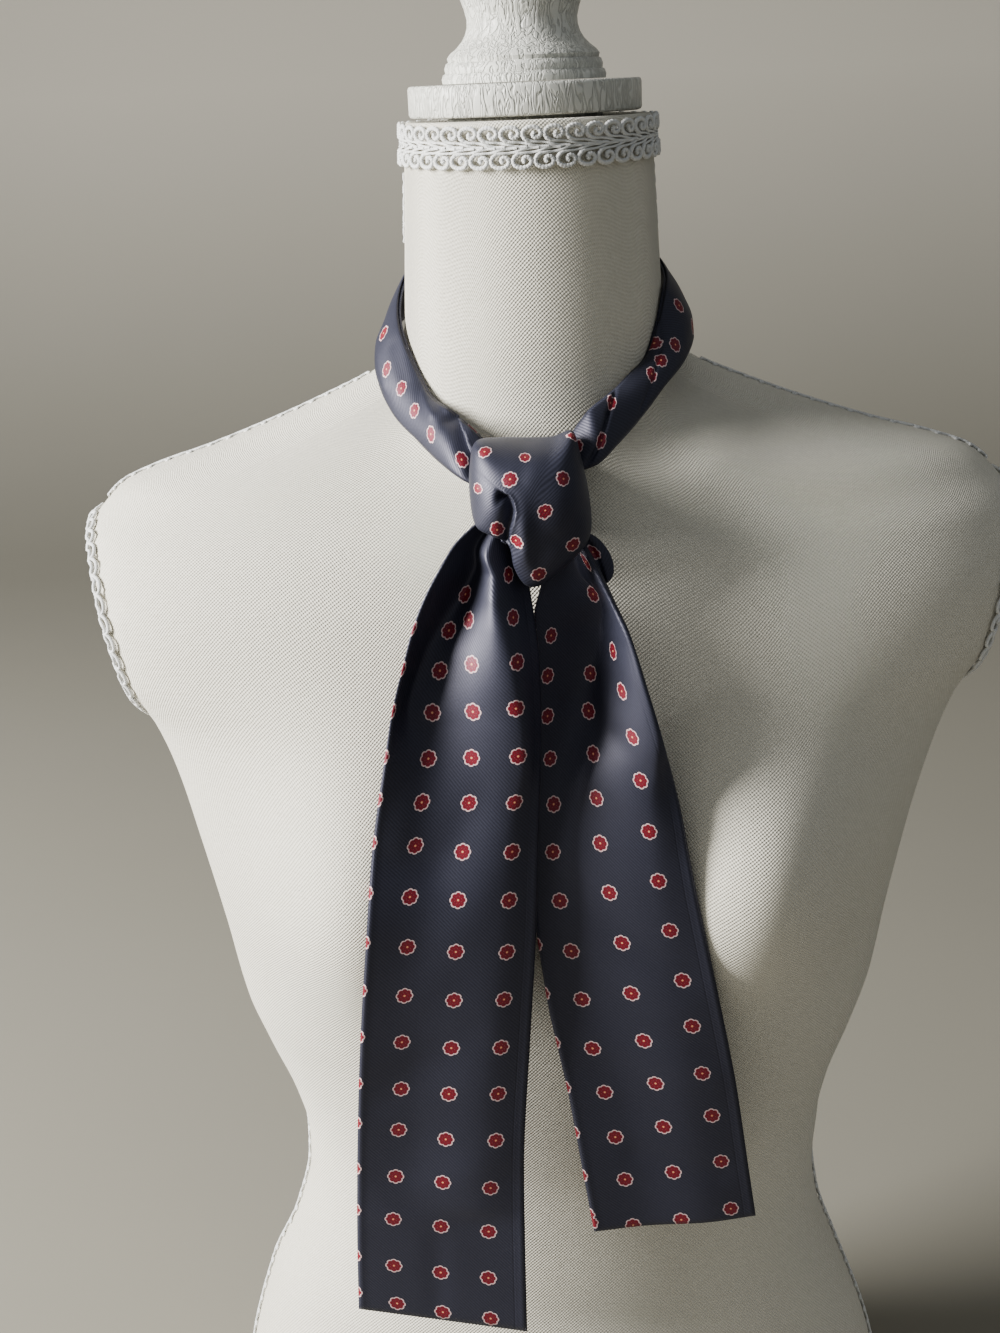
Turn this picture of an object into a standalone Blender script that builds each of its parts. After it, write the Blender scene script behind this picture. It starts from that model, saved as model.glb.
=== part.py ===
"""Skinny silk scarf, tied in one plain knot round the neck of a limbless dress form.

Metres, +Z up. The front of the form faces -Y and the origin lies on the base's underside,
below the middle of the neck. The scarf is a flat sewn tube: its two hanging tails, its bands
round the neck and the wrap of its knot are walls of cloth, lofted through the tables' rows.
"""

import math

import bmesh
import bpy

# Clearances and wall thicknesses
SEAM_GAP = 0.0003
TAIL_WALL = 0.0020
BAND_WALL = 0.0044
WRAP_WALL = 0.0022
TRIM_WALL = 0.0014

# The scarf as it was sewn: a tube laid flat, this wide. Its folds are this deep at most,
# less where the knot squeezes them.
SCARF_WIDTH = 0.0740

# The form's own sizes
BASE_HEIGHT = 0.0120
BASE_EDGE = 0.0060
BASE_ROUND = 0.0020
COVER_TOP = 0.7010
CAP_RADIUS = 0.0495
CAP_HEIGHT = 0.0130
ARM_PLATE_X = 0.2070
ARM_PLATE_TOP = 0.5300
ARM_PLATE_LEAN = 0.235
ARM_PLATE_FOOT = 0.4300
BUST_X = 0.0900
BUST_HEIGHT = 0.3850
BUST_SPREAD_X = 0.0460
BUST_SPREAD_Z = 0.0600
BUST_RISE = 0.0340

# Braid trims: height of the neck's braid, half width of the seams' braid, and where the
# braid of each seam runs from and to
NECK_BRAID_HEIGHT = 0.0210
SEAM_BRAID_HALF = 0.0030
SIDE_BRAID = (0.0200, 0.4380)
SHOULDER_BRAID = (0.5430, 0.5930)
NECK_SIDE_BRAID = (0.6500, 0.6785)

# Braid on the arm plate's rim: middle of the oval, its half sizes, the braid's own width
# and its rise
ARM_RIM_CENTRE = (0.0060, 0.4925)
ARM_RIM_HALF = (0.0350, 0.0400)
ARM_BRAID_WIDTH = 0.0055
ARM_BRAID_RISE = 0.0026
ARM_BRAID_POINTS = 32

# Mesh density
BODY_POINTS = 44
TURNED_POINTS = 22

# Sections of the covered form: height, half width, front depth, back depth, how far the
# widest line lies behind the middle, squareness of the section, radius of the neck in it,
# and how far the section stands off to the right, because the form is a little askew.
FORM_SECTIONS = (
    # height, width,  front,  back,   ridge,  square, neck,   askew
    (0.0123, 0.1720, 0.1020, 0.1120, 0.0000, 2.20, 0.0010, 0.0000),
    (0.0810, 0.1625, 0.0970, 0.1020, 0.0000, 2.20, 0.0010, -0.0045),
    (0.1400, 0.1445, 0.0910, 0.0890, 0.0000, 2.15, 0.0010, -0.0060),
    (0.1700, 0.1325, 0.0890, 0.0830, 0.0000, 2.15, 0.0010, -0.0035),
    (0.2000, 0.1272, 0.0880, 0.0800, 0.0000, 2.15, 0.0010, -0.0005),
    (0.2250, 0.1282, 0.0890, 0.0810, 0.0000, 2.15, 0.0010, 0.0010),
    (0.2500, 0.1335, 0.0930, 0.0830, 0.0000, 2.15, 0.0010, 0.0010),
    (0.2800, 0.1445, 0.0980, 0.0860, 0.0000, 2.15, 0.0010, 0.0010),
    (0.3050, 0.1522, 0.1005, 0.0900, 0.0000, 2.20, 0.0010, 0.0008),
    (0.3450, 0.1590, 0.1005, 0.0970, 0.0000, 2.25, 0.0010, 0.0010),
    (0.3850, 0.1675, 0.0985, 0.1050, 0.0000, 2.30, 0.0010, 0.0015),
    (0.4200, 0.1768, 0.0960, 0.1085, 0.0000, 2.35, 0.0010, 0.0028),
    (0.4450, 0.1870, 0.0925, 0.1090, 0.0000, 2.35, 0.0010, 0.0035),
    (0.4700, 0.2060, 0.0880, 0.1070, 0.0010, 2.35, 0.0010, 0.0040),
    (0.5000, 0.2160, 0.0820, 0.1030, 0.0030, 2.30, 0.0300, 0.0044),
    (0.5250, 0.2130, 0.0720, 0.0960, 0.0060, 2.20, 0.0690, 0.0045),
    (0.5420, 0.2005, 0.0610, 0.0870, 0.0090, 2.10, 0.0665, 0.0045),
    (0.5490, 0.1925, 0.0560, 0.0820, 0.0100, 2.10, 0.0650, 0.0040),
    (0.5565, 0.1735, 0.0500, 0.0760, 0.0110, 2.05, 0.0635, 0.0028),
    (0.5630, 0.1510, 0.0440, 0.0700, 0.0115, 2.05, 0.0620, 0.0020),
    (0.5735, 0.1205, 0.0350, 0.0600, 0.0120, 2.00, 0.0598, 0.0012),
    (0.5850, 0.0915, 0.0240, 0.0490, 0.0120, 2.00, 0.0580, 0.0008),
    (0.5950, 0.0690, 0.0150, 0.0400, 0.0120, 2.00, 0.0572, 0.0006),
    (0.6060, 0.0540, 0.0090, 0.0340, 0.0115, 2.00, 0.0568, 0.0006),
    (0.6200, 0.0400, 0.0060, 0.0280, 0.0100, 2.00, 0.0563, 0.0006),
    (0.6720, 0.0300, 0.0060, 0.0200, 0.0080, 2.00, 0.0538, 0.0008),
    (0.7010, 0.0300, 0.0060, 0.0200, 0.0080, 2.00, 0.0525, 0.0010),
)
FORM_HEIGHTS = (
    0.0123, 0.045, 0.081, 0.115, 0.145, 0.172, 0.200, 0.228, 0.256, 0.286, 0.316, 0.345, 0.372,
    0.398, 0.424, 0.445, 0.465, 0.485, 0.505, 0.521, 0.533, 0.543, 0.551, 0.5585, 0.566, 0.5745,
    0.584, 0.594, 0.606, 0.622, 0.650, 0.6785, COVER_TOP,
)

# Left tail, from under the knot to its hem: height of the left and right edge, X of both,
# Y of both, then the fold: where its valley and its ridge lie across the tail, how far
# valley, ridge and right edge go back against each other, and the deepest that it may be.
LEFT_TAIL = (
    # left z, right z, left x,  right x, left y,  right y, valley, ridge, v_rise, r_rise, edge_rise, deepest
    (0.5480, 0.5370, -0.0265, -0.0085, -0.0940, -0.0925, 0.22, 0.4, 1.00, -0.60, 0.15, 0.0022),
    (0.5390, 0.5300, -0.0375, -0.0080, -0.0985, -0.0940, 0.30, 0.46, 1.00, -0.70, 0.15, 0.0055),
    (0.5300, 0.5230, -0.0440, -0.0078, -0.1030, -0.0950, 0.39, 0.62, 1.00, -0.70, 0.15, 0.0087),
    (0.5200, 0.5150, -0.0500, -0.0070, -0.1065, -0.0975, 0.36, 0.66, 1.00, -0.70, 0.15, 0.0120),
    (0.5074, 0.5043, -0.0556, -0.0058, -0.1085, -0.1030, 0.26, 0.72, 1.00, -0.70, 0.15, 0.0120),
    (0.4932, 0.4910, -0.0601, -0.0048, -0.1120, -0.1065, 0.16, 0.78, 1.00, -0.70, 0.15, 0.0120),
    (0.4749, 0.4742, -0.0654, -0.0048, -0.1150, -0.1090, 0.12, 0.84, 1.00, -0.70, 0.15, 0.0110),
    (0.4506, 0.4506, -0.0705, -0.0058, -0.1180, -0.1115, 0.24, 0.88, 0.80, -0.80, 0.15, 0.0075),
    (0.4173, 0.4197, -0.0767, -0.0079, -0.1200, -0.1150, 0.30, 0.8, 0.50, -0.60, 0.15, 0.0045),
    (0.3789, 0.3780, -0.0814, -0.0105, -0.1258, -0.1180, 0.30, 0.78, 0.30, -0.50, 0.15, 0.0040),
    (0.3279, 0.3261, -0.0874, -0.0150, -0.1225, -0.1190, 0.30, 0.75, 0.20, -0.50, 0.15, 0.0040),
    (0.2674, 0.2630, -0.0929, -0.0200, -0.1175, -0.1185, 0.30, 0.72, 0.20, -0.50, 0.15, 0.0035),
    (0.2218, 0.2142, -0.0960, -0.0212, -0.1150, -0.1180, 0.30, 0.7, 0.20, -0.50, 0.15, 0.0030),
    (0.1892, 0.1762, -0.0976, -0.0218, -0.1135, -0.1175, 0.32, 0.7, 0.20, -0.50, 0.15, 0.0030),
)

# Right tail, the same columns. It hangs behind the left one and runs out to the right.
RIGHT_TAIL = (
    # left z, right z, left x,  right x, left y,  right y, valley, ridge, v_rise, r_rise, edge_rise, deepest
    (0.5292, 0.5368, -0.0005, 0.0142, -0.0916, -0.0896, 0.62, 0.97, 1.00, -0.50, 0.15, 0.0022),
    (0.5190, 0.5265, -0.0030, 0.0200, -0.0930, -0.0950, 0.66, 0.98, 1.00, -0.60, 0.15, 0.0055),
    (0.5080, 0.5130, -0.0062, 0.0262, -0.0950, -0.0995, 0.84, 0.985, 1.00, -0.60, -0.20, 0.0087),
    (0.4960, 0.4990, -0.0075, 0.0326, -0.0970, -0.1045, 0.70, 0.985, 1.00, -0.60, -0.50, 0.0120),
    (0.4800, 0.4820, -0.0085, 0.0375, -0.0995, -0.1090, 0.54, 0.985, 1.00, -0.60, -0.55, 0.0120),
    (0.4605, 0.4616, -0.0095, 0.0429, -0.1030, -0.1120, 0.38, 0.97, 0.90, -0.60, -0.40, 0.0110),
    (0.4310, 0.4320, -0.0103, 0.0498, -0.1060, -0.1140, 0.20, 0.8, 0.60, -0.60, 0.10, 0.0065),
    (0.3912, 0.3931, -0.0115, 0.0563, -0.1080, -0.1175, 0.16, 0.74, 0.40, -0.50, 0.15, 0.0045),
    (0.3463, 0.3488, -0.0079, 0.0645, -0.1100, -0.1165, 0.20, 0.7, 0.30, -0.40, 0.15, 0.0040),
    (0.2922, 0.2932, 0.0009, 0.0742, -0.1120, -0.1120, 0.30, 0.7, 0.30, -0.40, 0.15, 0.0035),
    (0.2527, 0.2530, 0.0062, 0.0795, -0.1130, -0.1095, 0.30, 0.7, 0.30, -0.40, 0.15, 0.0030),
    (0.2247, 0.2256, 0.0100, 0.0831, -0.1135, -0.1085, 0.30, 0.7, 0.30, -0.40, 0.15, 0.0030),
)

# The bands round the neck, by angle seen from above (0 is the front, minus is the left):
# height of the outer edge and of the inner edge, how far the middle bellies out, and how
# far the band is drawn in towards the neck where it runs into the knot.
LEFT_BAND = (
    # angle,  outer z, inner z, belly, drawn in
    (-16.5, 0.5590, 0.5745, 0.0005, 0.0090),
    (-19.5, 0.5600, 0.5785, 0.0008, 0.0048),
    (-23.0, 0.5618, 0.5820, 0.0010, 0.0014),
    (-28.0, 0.5643, 0.5846, 0.0014, 0.0002),
    (-36.0, 0.5681, 0.5870, 0.0018, 0.0000),
    (-46.0, 0.5733, 0.5890, 0.0020, 0.0000),
    (-57.0, 0.5783, 0.5965, 0.0020, 0.0000),
    (-68.0, 0.5858, 0.6060, 0.0020, 0.0000),
    (-80.0, 0.5945, 0.6150, 0.0018, 0.0000),
    (-92.0, 0.6015, 0.6235, 0.0016, 0.0010),
    (-108.0, 0.6080, 0.6340, 0.0014, 0.0025),
    (-124.0, 0.6150, 0.6440, 0.0014, 0.0030),
)
RIGHT_BAND = (
    (9.5, 0.5630, 0.5765, 0.0005, 0.0105),
    (12.5, 0.5642, 0.5815, 0.0008, 0.0060),
    (16.0, 0.5662, 0.5865, 0.0010, 0.0016),
    (22.0, 0.5710, 0.5893, 0.0014, 0.0002),
    (30.0, 0.5765, 0.5922, 0.0018, 0.0000),
    (40.0, 0.5835, 0.5965, 0.0020, 0.0000),
    (51.0, 0.5915, 0.6008, 0.0020, 0.0000),
    (62.0, 0.5972, 0.6130, 0.0020, 0.0000),
    (75.0, 0.6032, 0.6270, 0.0018, 0.0000),
    (90.0, 0.6070, 0.6330, 0.0016, 0.0010),
    (107.0, 0.6140, 0.6395, 0.0014, 0.0030),
    (124.0, 0.6205, 0.6460, 0.0014, 0.0038),
)
BACK_BAND = (
    (124.5, 0.6205, 0.6460, 0.0014, 0.0038),
    (145.0, 0.6265, 0.6530, 0.0014, 0.0030),
    (180.0, 0.6290, 0.6570, 0.0014, 0.0020),
    (215.0, 0.6220, 0.6500, 0.0014, 0.0025),
    (235.5, 0.6150, 0.6440, 0.0014, 0.0030),
)
# Radius of the bands' outer and inner edge where they rest, and the angles at which the
# edges leave the neck and run straight to the knot.
OUTER_REST = 0.0700
INNER_REST = 0.0580
LEFT_LEAVE = (59.6, 64.0)
RIGHT_LEAVE = (50.7, 55.0)
BACK_LEAVE = (0.0, 0.0)

# Outline of the knot's wrap as it is seen from the front, clockwise: X, Z and the depth to
# which its edge turns back.
KNOT_OUTLINE = (
    # x,       z,      edge y
    (-0.0268, 0.5775, -0.0820),
    (-0.0167, 0.5778, -0.0770),
    (-0.0060, 0.5766, -0.0730),
    (0.0045, 0.5768, -0.0740),
    (0.0122, 0.5800, -0.0810),
    (0.0152, 0.5706, -0.0840),
    (0.0175, 0.5587, -0.0850),
    (0.0187, 0.5472, -0.0860),
    (0.0180, 0.5400, -0.0900),
    (0.0150, 0.5352, -0.0940),
    (0.0072, 0.5280, -0.0970),
    (-0.0007, 0.5224, -0.0985),
    (-0.0065, 0.5208, -0.1000),
    (-0.0105, 0.5232, -0.1010),
    (-0.0138, 0.5300, -0.1015),
    (-0.0156, 0.5390, -0.1010),
    (-0.0222, 0.5428, -0.1000),
    (-0.0283, 0.5462, -0.0960),
    (-0.0302, 0.5560, -0.0875),
    (-0.0298, 0.5680, -0.0850),
)
KNOT_CENTRE = (-0.0055, 0.5540)
KNOT_FRONT_Y = -0.1085
KNOT_FULLNESS = 2.6
KNOT_RINGS = (0.16, 0.34, 0.50, 0.64, 0.76, 0.86, 0.93, 0.975, 1.0)
# Hollows (plus) and swells (minus) pressed into the wrap: X, Z, reach in X and Z, depth
KNOT_RELIEF = (
    (-0.0178, 0.5490, 0.0048, 0.0065, 0.0052),
    (-0.0150, 0.5390, 0.0032, 0.0060, 0.0040),
    (-0.0095, 0.5450, 0.0040, 0.0110, -0.0026),
    (0.0100, 0.5600, 0.0090, 0.0120, -0.0010),
)

# Hidden layers inside the knot: height, half width, front depth
KNOT_CORE = (
    # height, half width, front y
    (0.5405, 0.0090, -0.0880),
    (0.5425, 0.0130, -0.0900),
    (0.5480, 0.0155, -0.0915),
    (0.5560, 0.0162, -0.0920),
    (0.5640, 0.0160, -0.0910),
    (0.5710, 0.0130, -0.0880),
    (0.5735, 0.0090, -0.0850),
)
KNOT_CORE_X = -0.0045
KNOT_CORE_SQUARE = 4.0

# Loose tuck of the scarf that shows behind the knot at its lower right
TUCK = (
    # height, middle x, half width, middle y
    (0.5400, 0.0146, 0.0030, -0.0876),
    (0.5350, 0.0182, 0.0045, -0.0876),
    (0.5290, 0.0213, 0.0050, -0.0892),
    (0.5230, 0.0230, 0.0042, -0.0912),
    (0.5190, 0.0236, 0.0025, -0.0928),
)
TUCK_HALF_WALL = 0.0018
TUCK_POINTS = 12

# Turned finial over the cap: height above the cap, radius
FINIAL_PROFILE = (
    (0.0000, 0.0345), (0.0036, 0.0345), (0.0044, 0.0335), (0.0080, 0.0330), (0.0088, 0.0320),
    (0.0118, 0.0312), (0.0150, 0.0270), (0.0190, 0.0242), (0.0240, 0.0230), (0.0285, 0.0238),
    (0.0330, 0.0255), (0.0400, 0.0278), (0.0480, 0.0290), (0.0560, 0.0288), (0.0640, 0.0268),
    (0.0710, 0.0228), (0.0765, 0.0170), (0.0800, 0.0100), (0.0815, 0.0000),
)

CANVAS_COLOUR = (0.78, 0.75, 0.66, 1.0)
WOOD_COLOUR = (0.80, 0.79, 0.75, 1.0)
BRAID_COLOUR = (0.86, 0.86, 0.84, 1.0)
SILK_COLOUR = (0.075, 0.085, 0.125, 1.0)


def clear_scene():
    for old in list(bpy.data.objects):
        bpy.data.objects.remove(old, do_unlink=True)


def make_material(name, colour, roughness):
    material = bpy.data.materials.new(name)
    material.use_nodes = True
    shader = material.node_tree.nodes["Principled BSDF"]
    shader.inputs["Base Color"].default_value = colour
    shader.inputs["Roughness"].default_value = roughness
    shader.inputs["Metallic"].default_value = 0.0
    return material


def read_table(rows, at):
    """Columns of a table at a station, on smooth curves that never overshoot the rows."""
    first = rows[0][0]
    turned = -1.0 if rows[-1][0] < first else 1.0
    stations = [row[0] * turned for row in rows]
    here = min(max(at * turned, stations[0]), stations[-1])
    right = next(i for i in range(1, len(rows)) if here <= stations[i] + 1e-12)
    left = right - 1
    span = stations[right] - stations[left]
    t = (here - stations[left]) / span
    values = []
    for column in range(1, len(rows[0])):
        slopes = []
        for i in (left, right):
            if i == 0 or i == len(rows) - 1:
                j = min(max(i, 1), len(rows) - 1)
                step = (rows[j][column] - rows[j - 1][column]) / (stations[j] - stations[j - 1])
                slopes.append(step)
                continue
            before = (rows[i][column] - rows[i - 1][column]) / (stations[i] - stations[i - 1])
            after = (rows[i + 1][column] - rows[i][column]) / (stations[i + 1] - stations[i])
            slopes.append(2 * before * after / (before + after) if before * after > 0 else 0.0)
        a, b = rows[left][column], rows[right][column]
        h0 = (1 + 2 * t) * (1 - t) ** 2
        h1 = t * (1 - t) ** 2
        h2 = t * t * (3 - 2 * t)
        h3 = t * t * (t - 1)
        values.append(h0 * a + h1 * span * slopes[0] + h2 * b + h3 * span * slopes[1])
    return values


def add_object(name, bm, material, crease=40.0):
    bmesh.ops.recalc_face_normals(bm, faces=bm.faces)
    mesh = bpy.data.meshes.new(name)
    bm.to_mesh(mesh)
    bm.free()
    mesh.materials.append(material)
    mesh.shade_smooth()
    mesh.set_sharp_from_angle(angle=math.radians(crease))
    piece = bpy.data.objects.new(name, mesh)
    bpy.context.scene.collection.objects.link(piece)
    return piece


def loft(name, rings, material, crease=40.0, closed_path=False):
    """Skin a row of rings with the same number of points, and cap both ends."""
    bm = bmesh.new()
    loops = [[bm.verts.new(point) for point in ring] for ring in rings]
    count = len(loops[0])
    pairs = list(zip(loops, loops[1:]))
    if closed_path:
        pairs.append((loops[-1], loops[0]))
    for lower, upper in pairs:
        for i in range(count):
            j = (i + 1) % count
            bm.faces.new((lower[i], lower[j], upper[j], upper[i]))
    if not closed_path:
        bm.faces.new(loops[0])
        bm.faces.new(loops[-1])
    return add_object(name, bm, material, crease)


def spin_profile(name, profile, material, base_height, points=TURNED_POINTS):
    """A turned solid: one ring for each point of the profile, ends closed at the axis."""
    rings = []
    for height, radius in profile:
        if radius <= 0.0:
            continue
        ring = []
        for k in range(points):
            turn = 2 * math.pi * k / points
            ring.append((radius * math.cos(turn), radius * math.sin(turn), base_height + height))
        rings.append(ring)
    return loft(name, rings, material)


# The covered form

def form_section(height):
    return read_table(FORM_SECTIONS, height)


def arm_plate_x(height):
    """X of the flat plate that closes the armhole, at a height."""
    return ARM_PLATE_X - (ARM_PLATE_TOP - height) * ARM_PLATE_LEAN


def form_point(height, turn, out=0.0):
    """Point of the cover at a height and an angle from the front, moved out by a distance."""
    width, front, back, ridge, square, neck, askew = form_section(height)
    across, ahead = math.sin(turn), -math.cos(turn)
    near, far = 0.0, 0.30
    for _ in range(30):
        reach = 0.5 * (near + far)
        x, y = across * reach, ahead * reach
        depth = (front + ridge) if y < ridge else (back - ridge)
        torso = ((abs(x) / width) ** square + (abs(y - ridge) / depth) ** square) ** (1 / square)
        round_neck = reach / neck
        inside = (max(torso, 1e-6) ** -8 + round_neck ** -8) ** (-1 / 8) < 1.0
        near, far = (reach, far) if inside else (near, reach)
    reach += out
    x, y = across * reach, ahead * reach
    if y < 0.0:
        gap_x = (abs(x) - BUST_X) / BUST_SPREAD_X
        gap_z = (height - BUST_HEIGHT) / BUST_SPREAD_Z
        y -= BUST_RISE * math.exp(-gap_x * gap_x - gap_z * gap_z) * min(1.0, -y / 0.03)
    if height > ARM_PLATE_FOOT:
        limit = arm_plate_x(height) + out
        x = min(max(x, -limit), limit)
    return (x + askew, y, height)


def form_front(x, height):
    """Y of the cover's front at an X and a height."""
    low, high = 0.0, math.pi / 2
    for _ in range(30):
        turn = 0.5 * (low + high)
        point = form_point(height, turn)
        if point[0] < abs(x):
            low = turn
        else:
            high = turn
    return point[1]


def make_form(canvas):
    rings = []
    for height in FORM_HEIGHTS:
        rings.append([form_point(height, 2 * math.pi * k / BODY_POINTS) for k in range(BODY_POINTS)])
    return loft("form_body", rings, canvas)


def make_base(wood):
    profile = ((0.0, -BASE_EDGE), (BASE_ROUND, BASE_ROUND - BASE_EDGE),
               (BASE_HEIGHT - BASE_ROUND, BASE_ROUND - BASE_EDGE), (BASE_HEIGHT, -BASE_EDGE))
    rings = []
    for height, inset in profile:
        ring = []
        for k in range(BODY_POINTS):
            x, y, _ = form_point(FORM_HEIGHTS[0], 2 * math.pi * k / BODY_POINTS, inset)
            ring.append((x, y, height))
        rings.append(ring)
    return loft("base_board", rings, wood)


def make_cap_and_finial(wood):
    cap = ((0.0, CAP_RADIUS - 0.0015), (0.0015, CAP_RADIUS), (CAP_HEIGHT - 0.0012, CAP_RADIUS),
           (CAP_HEIGHT, CAP_RADIUS - 0.0012))
    spin_profile("neck_cap", cap, wood, COVER_TOP + SEAM_GAP)
    spin_profile("finial", FINIAL_PROFILE, wood, COVER_TOP + CAP_HEIGHT + 2 * SEAM_GAP)


# Braid trims

def trim_ring(heights, turns, out):
    """Four corners of a trim's section: inner low, outer low, outer high, inner high."""
    return [form_point(heights[0], turns, out), form_point(heights[0], turns, out + TRIM_WALL),
            form_point(heights[1], turns, out + TRIM_WALL), form_point(heights[1], turns, out)]


def make_neck_braid(braid):
    high = COVER_TOP - 0.0005
    low = high - NECK_BRAID_HEIGHT
    turns = [2 * math.pi * k / BODY_POINTS for k in range(BODY_POINTS)]
    rings = [trim_ring((low, high), turn, 0.0004) for turn in turns]
    loft("neck_braid", rings, braid, closed_path=True)


def make_arm_braid(name, side, braid):
    """Braid on the rim of the flat arm plate, an upright oval."""
    corners = ((0.0, 0.0), (ARM_BRAID_WIDTH, 0.0), (ARM_BRAID_WIDTH, ARM_BRAID_RISE),
               (0.0, ARM_BRAID_RISE))
    rings = []
    for k in range(ARM_BRAID_POINTS):
        turn = 2 * math.pi * k / ARM_BRAID_POINTS
        ring = []
        for inset, rise in corners:
            y = ARM_RIM_CENTRE[0] + (ARM_RIM_HALF[0] - inset) * math.cos(turn)
            z = ARM_RIM_CENTRE[1] + (ARM_RIM_HALF[1] - inset) * math.sin(turn)
            x = side * (arm_plate_x(z) + SEAM_GAP + rise) + form_section(z)[6]
            ring.append((x, y, z))
        rings.append(ring)
    loft(name, rings, braid, closed_path=True)


def make_seam_braid(name, side, reach, braid):
    """Braid over the seam along the form's side, a strip bent over the cover."""
    low, high = reach
    rings = []
    for height in [low] + [h for h in FORM_HEIGHTS if low < h < high] + [high]:
        width, _, _, ridge, _, neck, _ = form_section(height)
        middle = math.pi / 2 + math.atan2(ridge, max(width, neck))
        spread = SEAM_BRAID_HALF / max(width, neck)
        ring = []
        for out, turns in ((0.0006, (-1.0, 0.0, 1.0)), (0.0006 + TRIM_WALL, (1.0, 0.0, -1.0))):
            for step in turns:
                ring.append(form_point(height, side * (middle + spread * step), out))
        rings.append(ring)
    loft(name, rings, braid)


# The scarf

def fold_height(across, valley, ridge, valley_rise, ridge_rise, edge_rise):
    """Height of the fold across a tail from its left edge: plus goes back, minus forward."""
    knots = ((0.0, 0.0), (valley, valley_rise), (ridge, ridge_rise), (1.0001, edge_rise))
    return read_table(knots, across)[0]


def tail_section(rows, station, count):
    """Points across a tail, the same length of cloth apart, and their normals in plan."""
    numbered = [(i,) + tuple(row) for i, row in enumerate(rows)]
    (left_z, right_z, left_x, right_x, left_y, right_y,
     valley, ridge, valley_rise, ridge_rise, edge_rise, deepest) = read_table(numbered, station)
    fine = 60

    def curve(depth):
        points = []
        for k in range(fine + 1):
            t = k / fine
            x = left_x + (right_x - left_x) * t
            y = left_y + (right_y - left_y) * t
            y += depth * fold_height(t, valley, ridge, valley_rise, ridge_rise, edge_rise)
            points.append((x, y, left_z + (right_z - left_z) * t))
        return points

    def run(points):
        lengths = [0.0]
        for a, b in zip(points, points[1:]):
            lengths.append(lengths[-1] + math.hypot(b[0] - a[0], b[1] - a[1]))
        return lengths

    shallow, deep = 0.0, deepest
    for _ in range(18):
        depth = 0.5 * (shallow + deep)
        if run(curve(depth))[-1] < SCARF_WIDTH:
            shallow = depth
        else:
            deep = depth
    points = curve(depth)
    lengths = run(points)
    section = []
    index = 0
    for k in range(count + 1):
        want = lengths[-1] * k / count
        while index < fine - 1 and lengths[index + 1] < want:
            index += 1
        t = (want - lengths[index]) / (lengths[index + 1] - lengths[index])
        a, b = points[index], points[index + 1]
        point = [a[i] + (b[i] - a[i]) * t for i in range(3)]
        section.append(point)
    normals = []
    for k in range(count + 1):
        a, b = section[max(k - 1, 0)], section[min(k + 1, count)]
        length = math.hypot(b[0] - a[0], b[1] - a[1])
        normals.append(((b[1] - a[1]) / length, -(b[0] - a[0]) / length))
    return section, normals


def make_tail(name, rows, silk, count=16, steps=26):
    rings = []
    for s in range(steps + 1):
        station = (len(rows) - 1) * s / steps
        section, normals = tail_section(rows, station, count)
        front, back = [], []
        for k, (point, normal) in enumerate(zip(section, normals)):
            edge = 0.45 if k in (0, count) else 1.0
            half = 0.5 * TAIL_WALL * edge
            front.append((point[0] + normal[0] * half, point[1] + normal[1] * half, point[2]))
            back.append((point[0] - normal[0] * half, point[1] - normal[1] * half, point[2]))
        rings.append(front + back[::-1])
    return loft(name, rings, silk)


def taut_radius(angle, rest, leave):
    """Radius of an edge that lies round the neck, then runs straight from an angle on."""
    return rest / math.cos(math.radians(max(0.0, leave - abs(angle))))


def band_section(rows, angle, leave):
    """Middle line of a band's section, from its outer to its inner edge, and its normals."""
    outer_z, inner_z, belly, drawn = read_table(rows, angle)
    outer_r = taut_radius(angle, OUTER_REST, leave[0]) - drawn
    inner_r = taut_radius(angle, INNER_REST, leave[1]) - (drawn if abs(angle) < 60.0 else 0.0)
    run_r, run_z = inner_r - outer_r, inner_z - outer_z
    length = math.hypot(run_r, run_z)
    normal_r, normal_z = run_z / length, -run_r / length
    return outer_r, outer_z, run_r, run_z, normal_r, normal_z, belly


def make_band(name, rows, leave, silk, steps, count=7):
    rings = []
    start, end = rows[0][0], rows[-1][0]
    for s in range(steps + 1):
        angle = start + (end - start) * s / steps
        outer_r, outer_z, run_r, run_z, normal_r, normal_z, belly = band_section(rows, angle, leave)
        faces = []
        for side in (1.0, -1.0):
            row = []
            for k in range(count + 1):
                t = k / count
                swell = belly * math.sin(math.pi * t)
                half = 0.5 * BAND_WALL * (1.0 - abs(2 * t - 1) ** 3 * 0.6)
                out = swell + side * half
                radius = outer_r + run_r * t + normal_r * out
                height = outer_z + run_z * t + normal_z * out
                turn = math.radians(angle)
                row.append((radius * math.sin(turn), -radius * math.cos(turn), height))
            faces.append(row)
        rings.append(faces[0] + faces[1][::-1])
    return loft(name, rings, silk)


def knot_outline(share):
    """Outline point of the wrap: X, Z and edge depth, on a smooth closed curve."""
    count = len(KNOT_OUTLINE)
    place = share * count
    i = int(math.floor(place)) % count
    t = place - math.floor(place)
    p = [KNOT_OUTLINE[(i + k - 1) % count] for k in range(4)]
    point = []
    for c in range(3):
        a, b, d, e = (q[c] for q in p)
        bend = (2 * a - 5 * b + 4 * d - e) * t * t + (-a + 3 * b - 3 * d + e) * t ** 3
        point.append(0.5 * (2 * b + (d - a) * t + bend))
    return point


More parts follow.
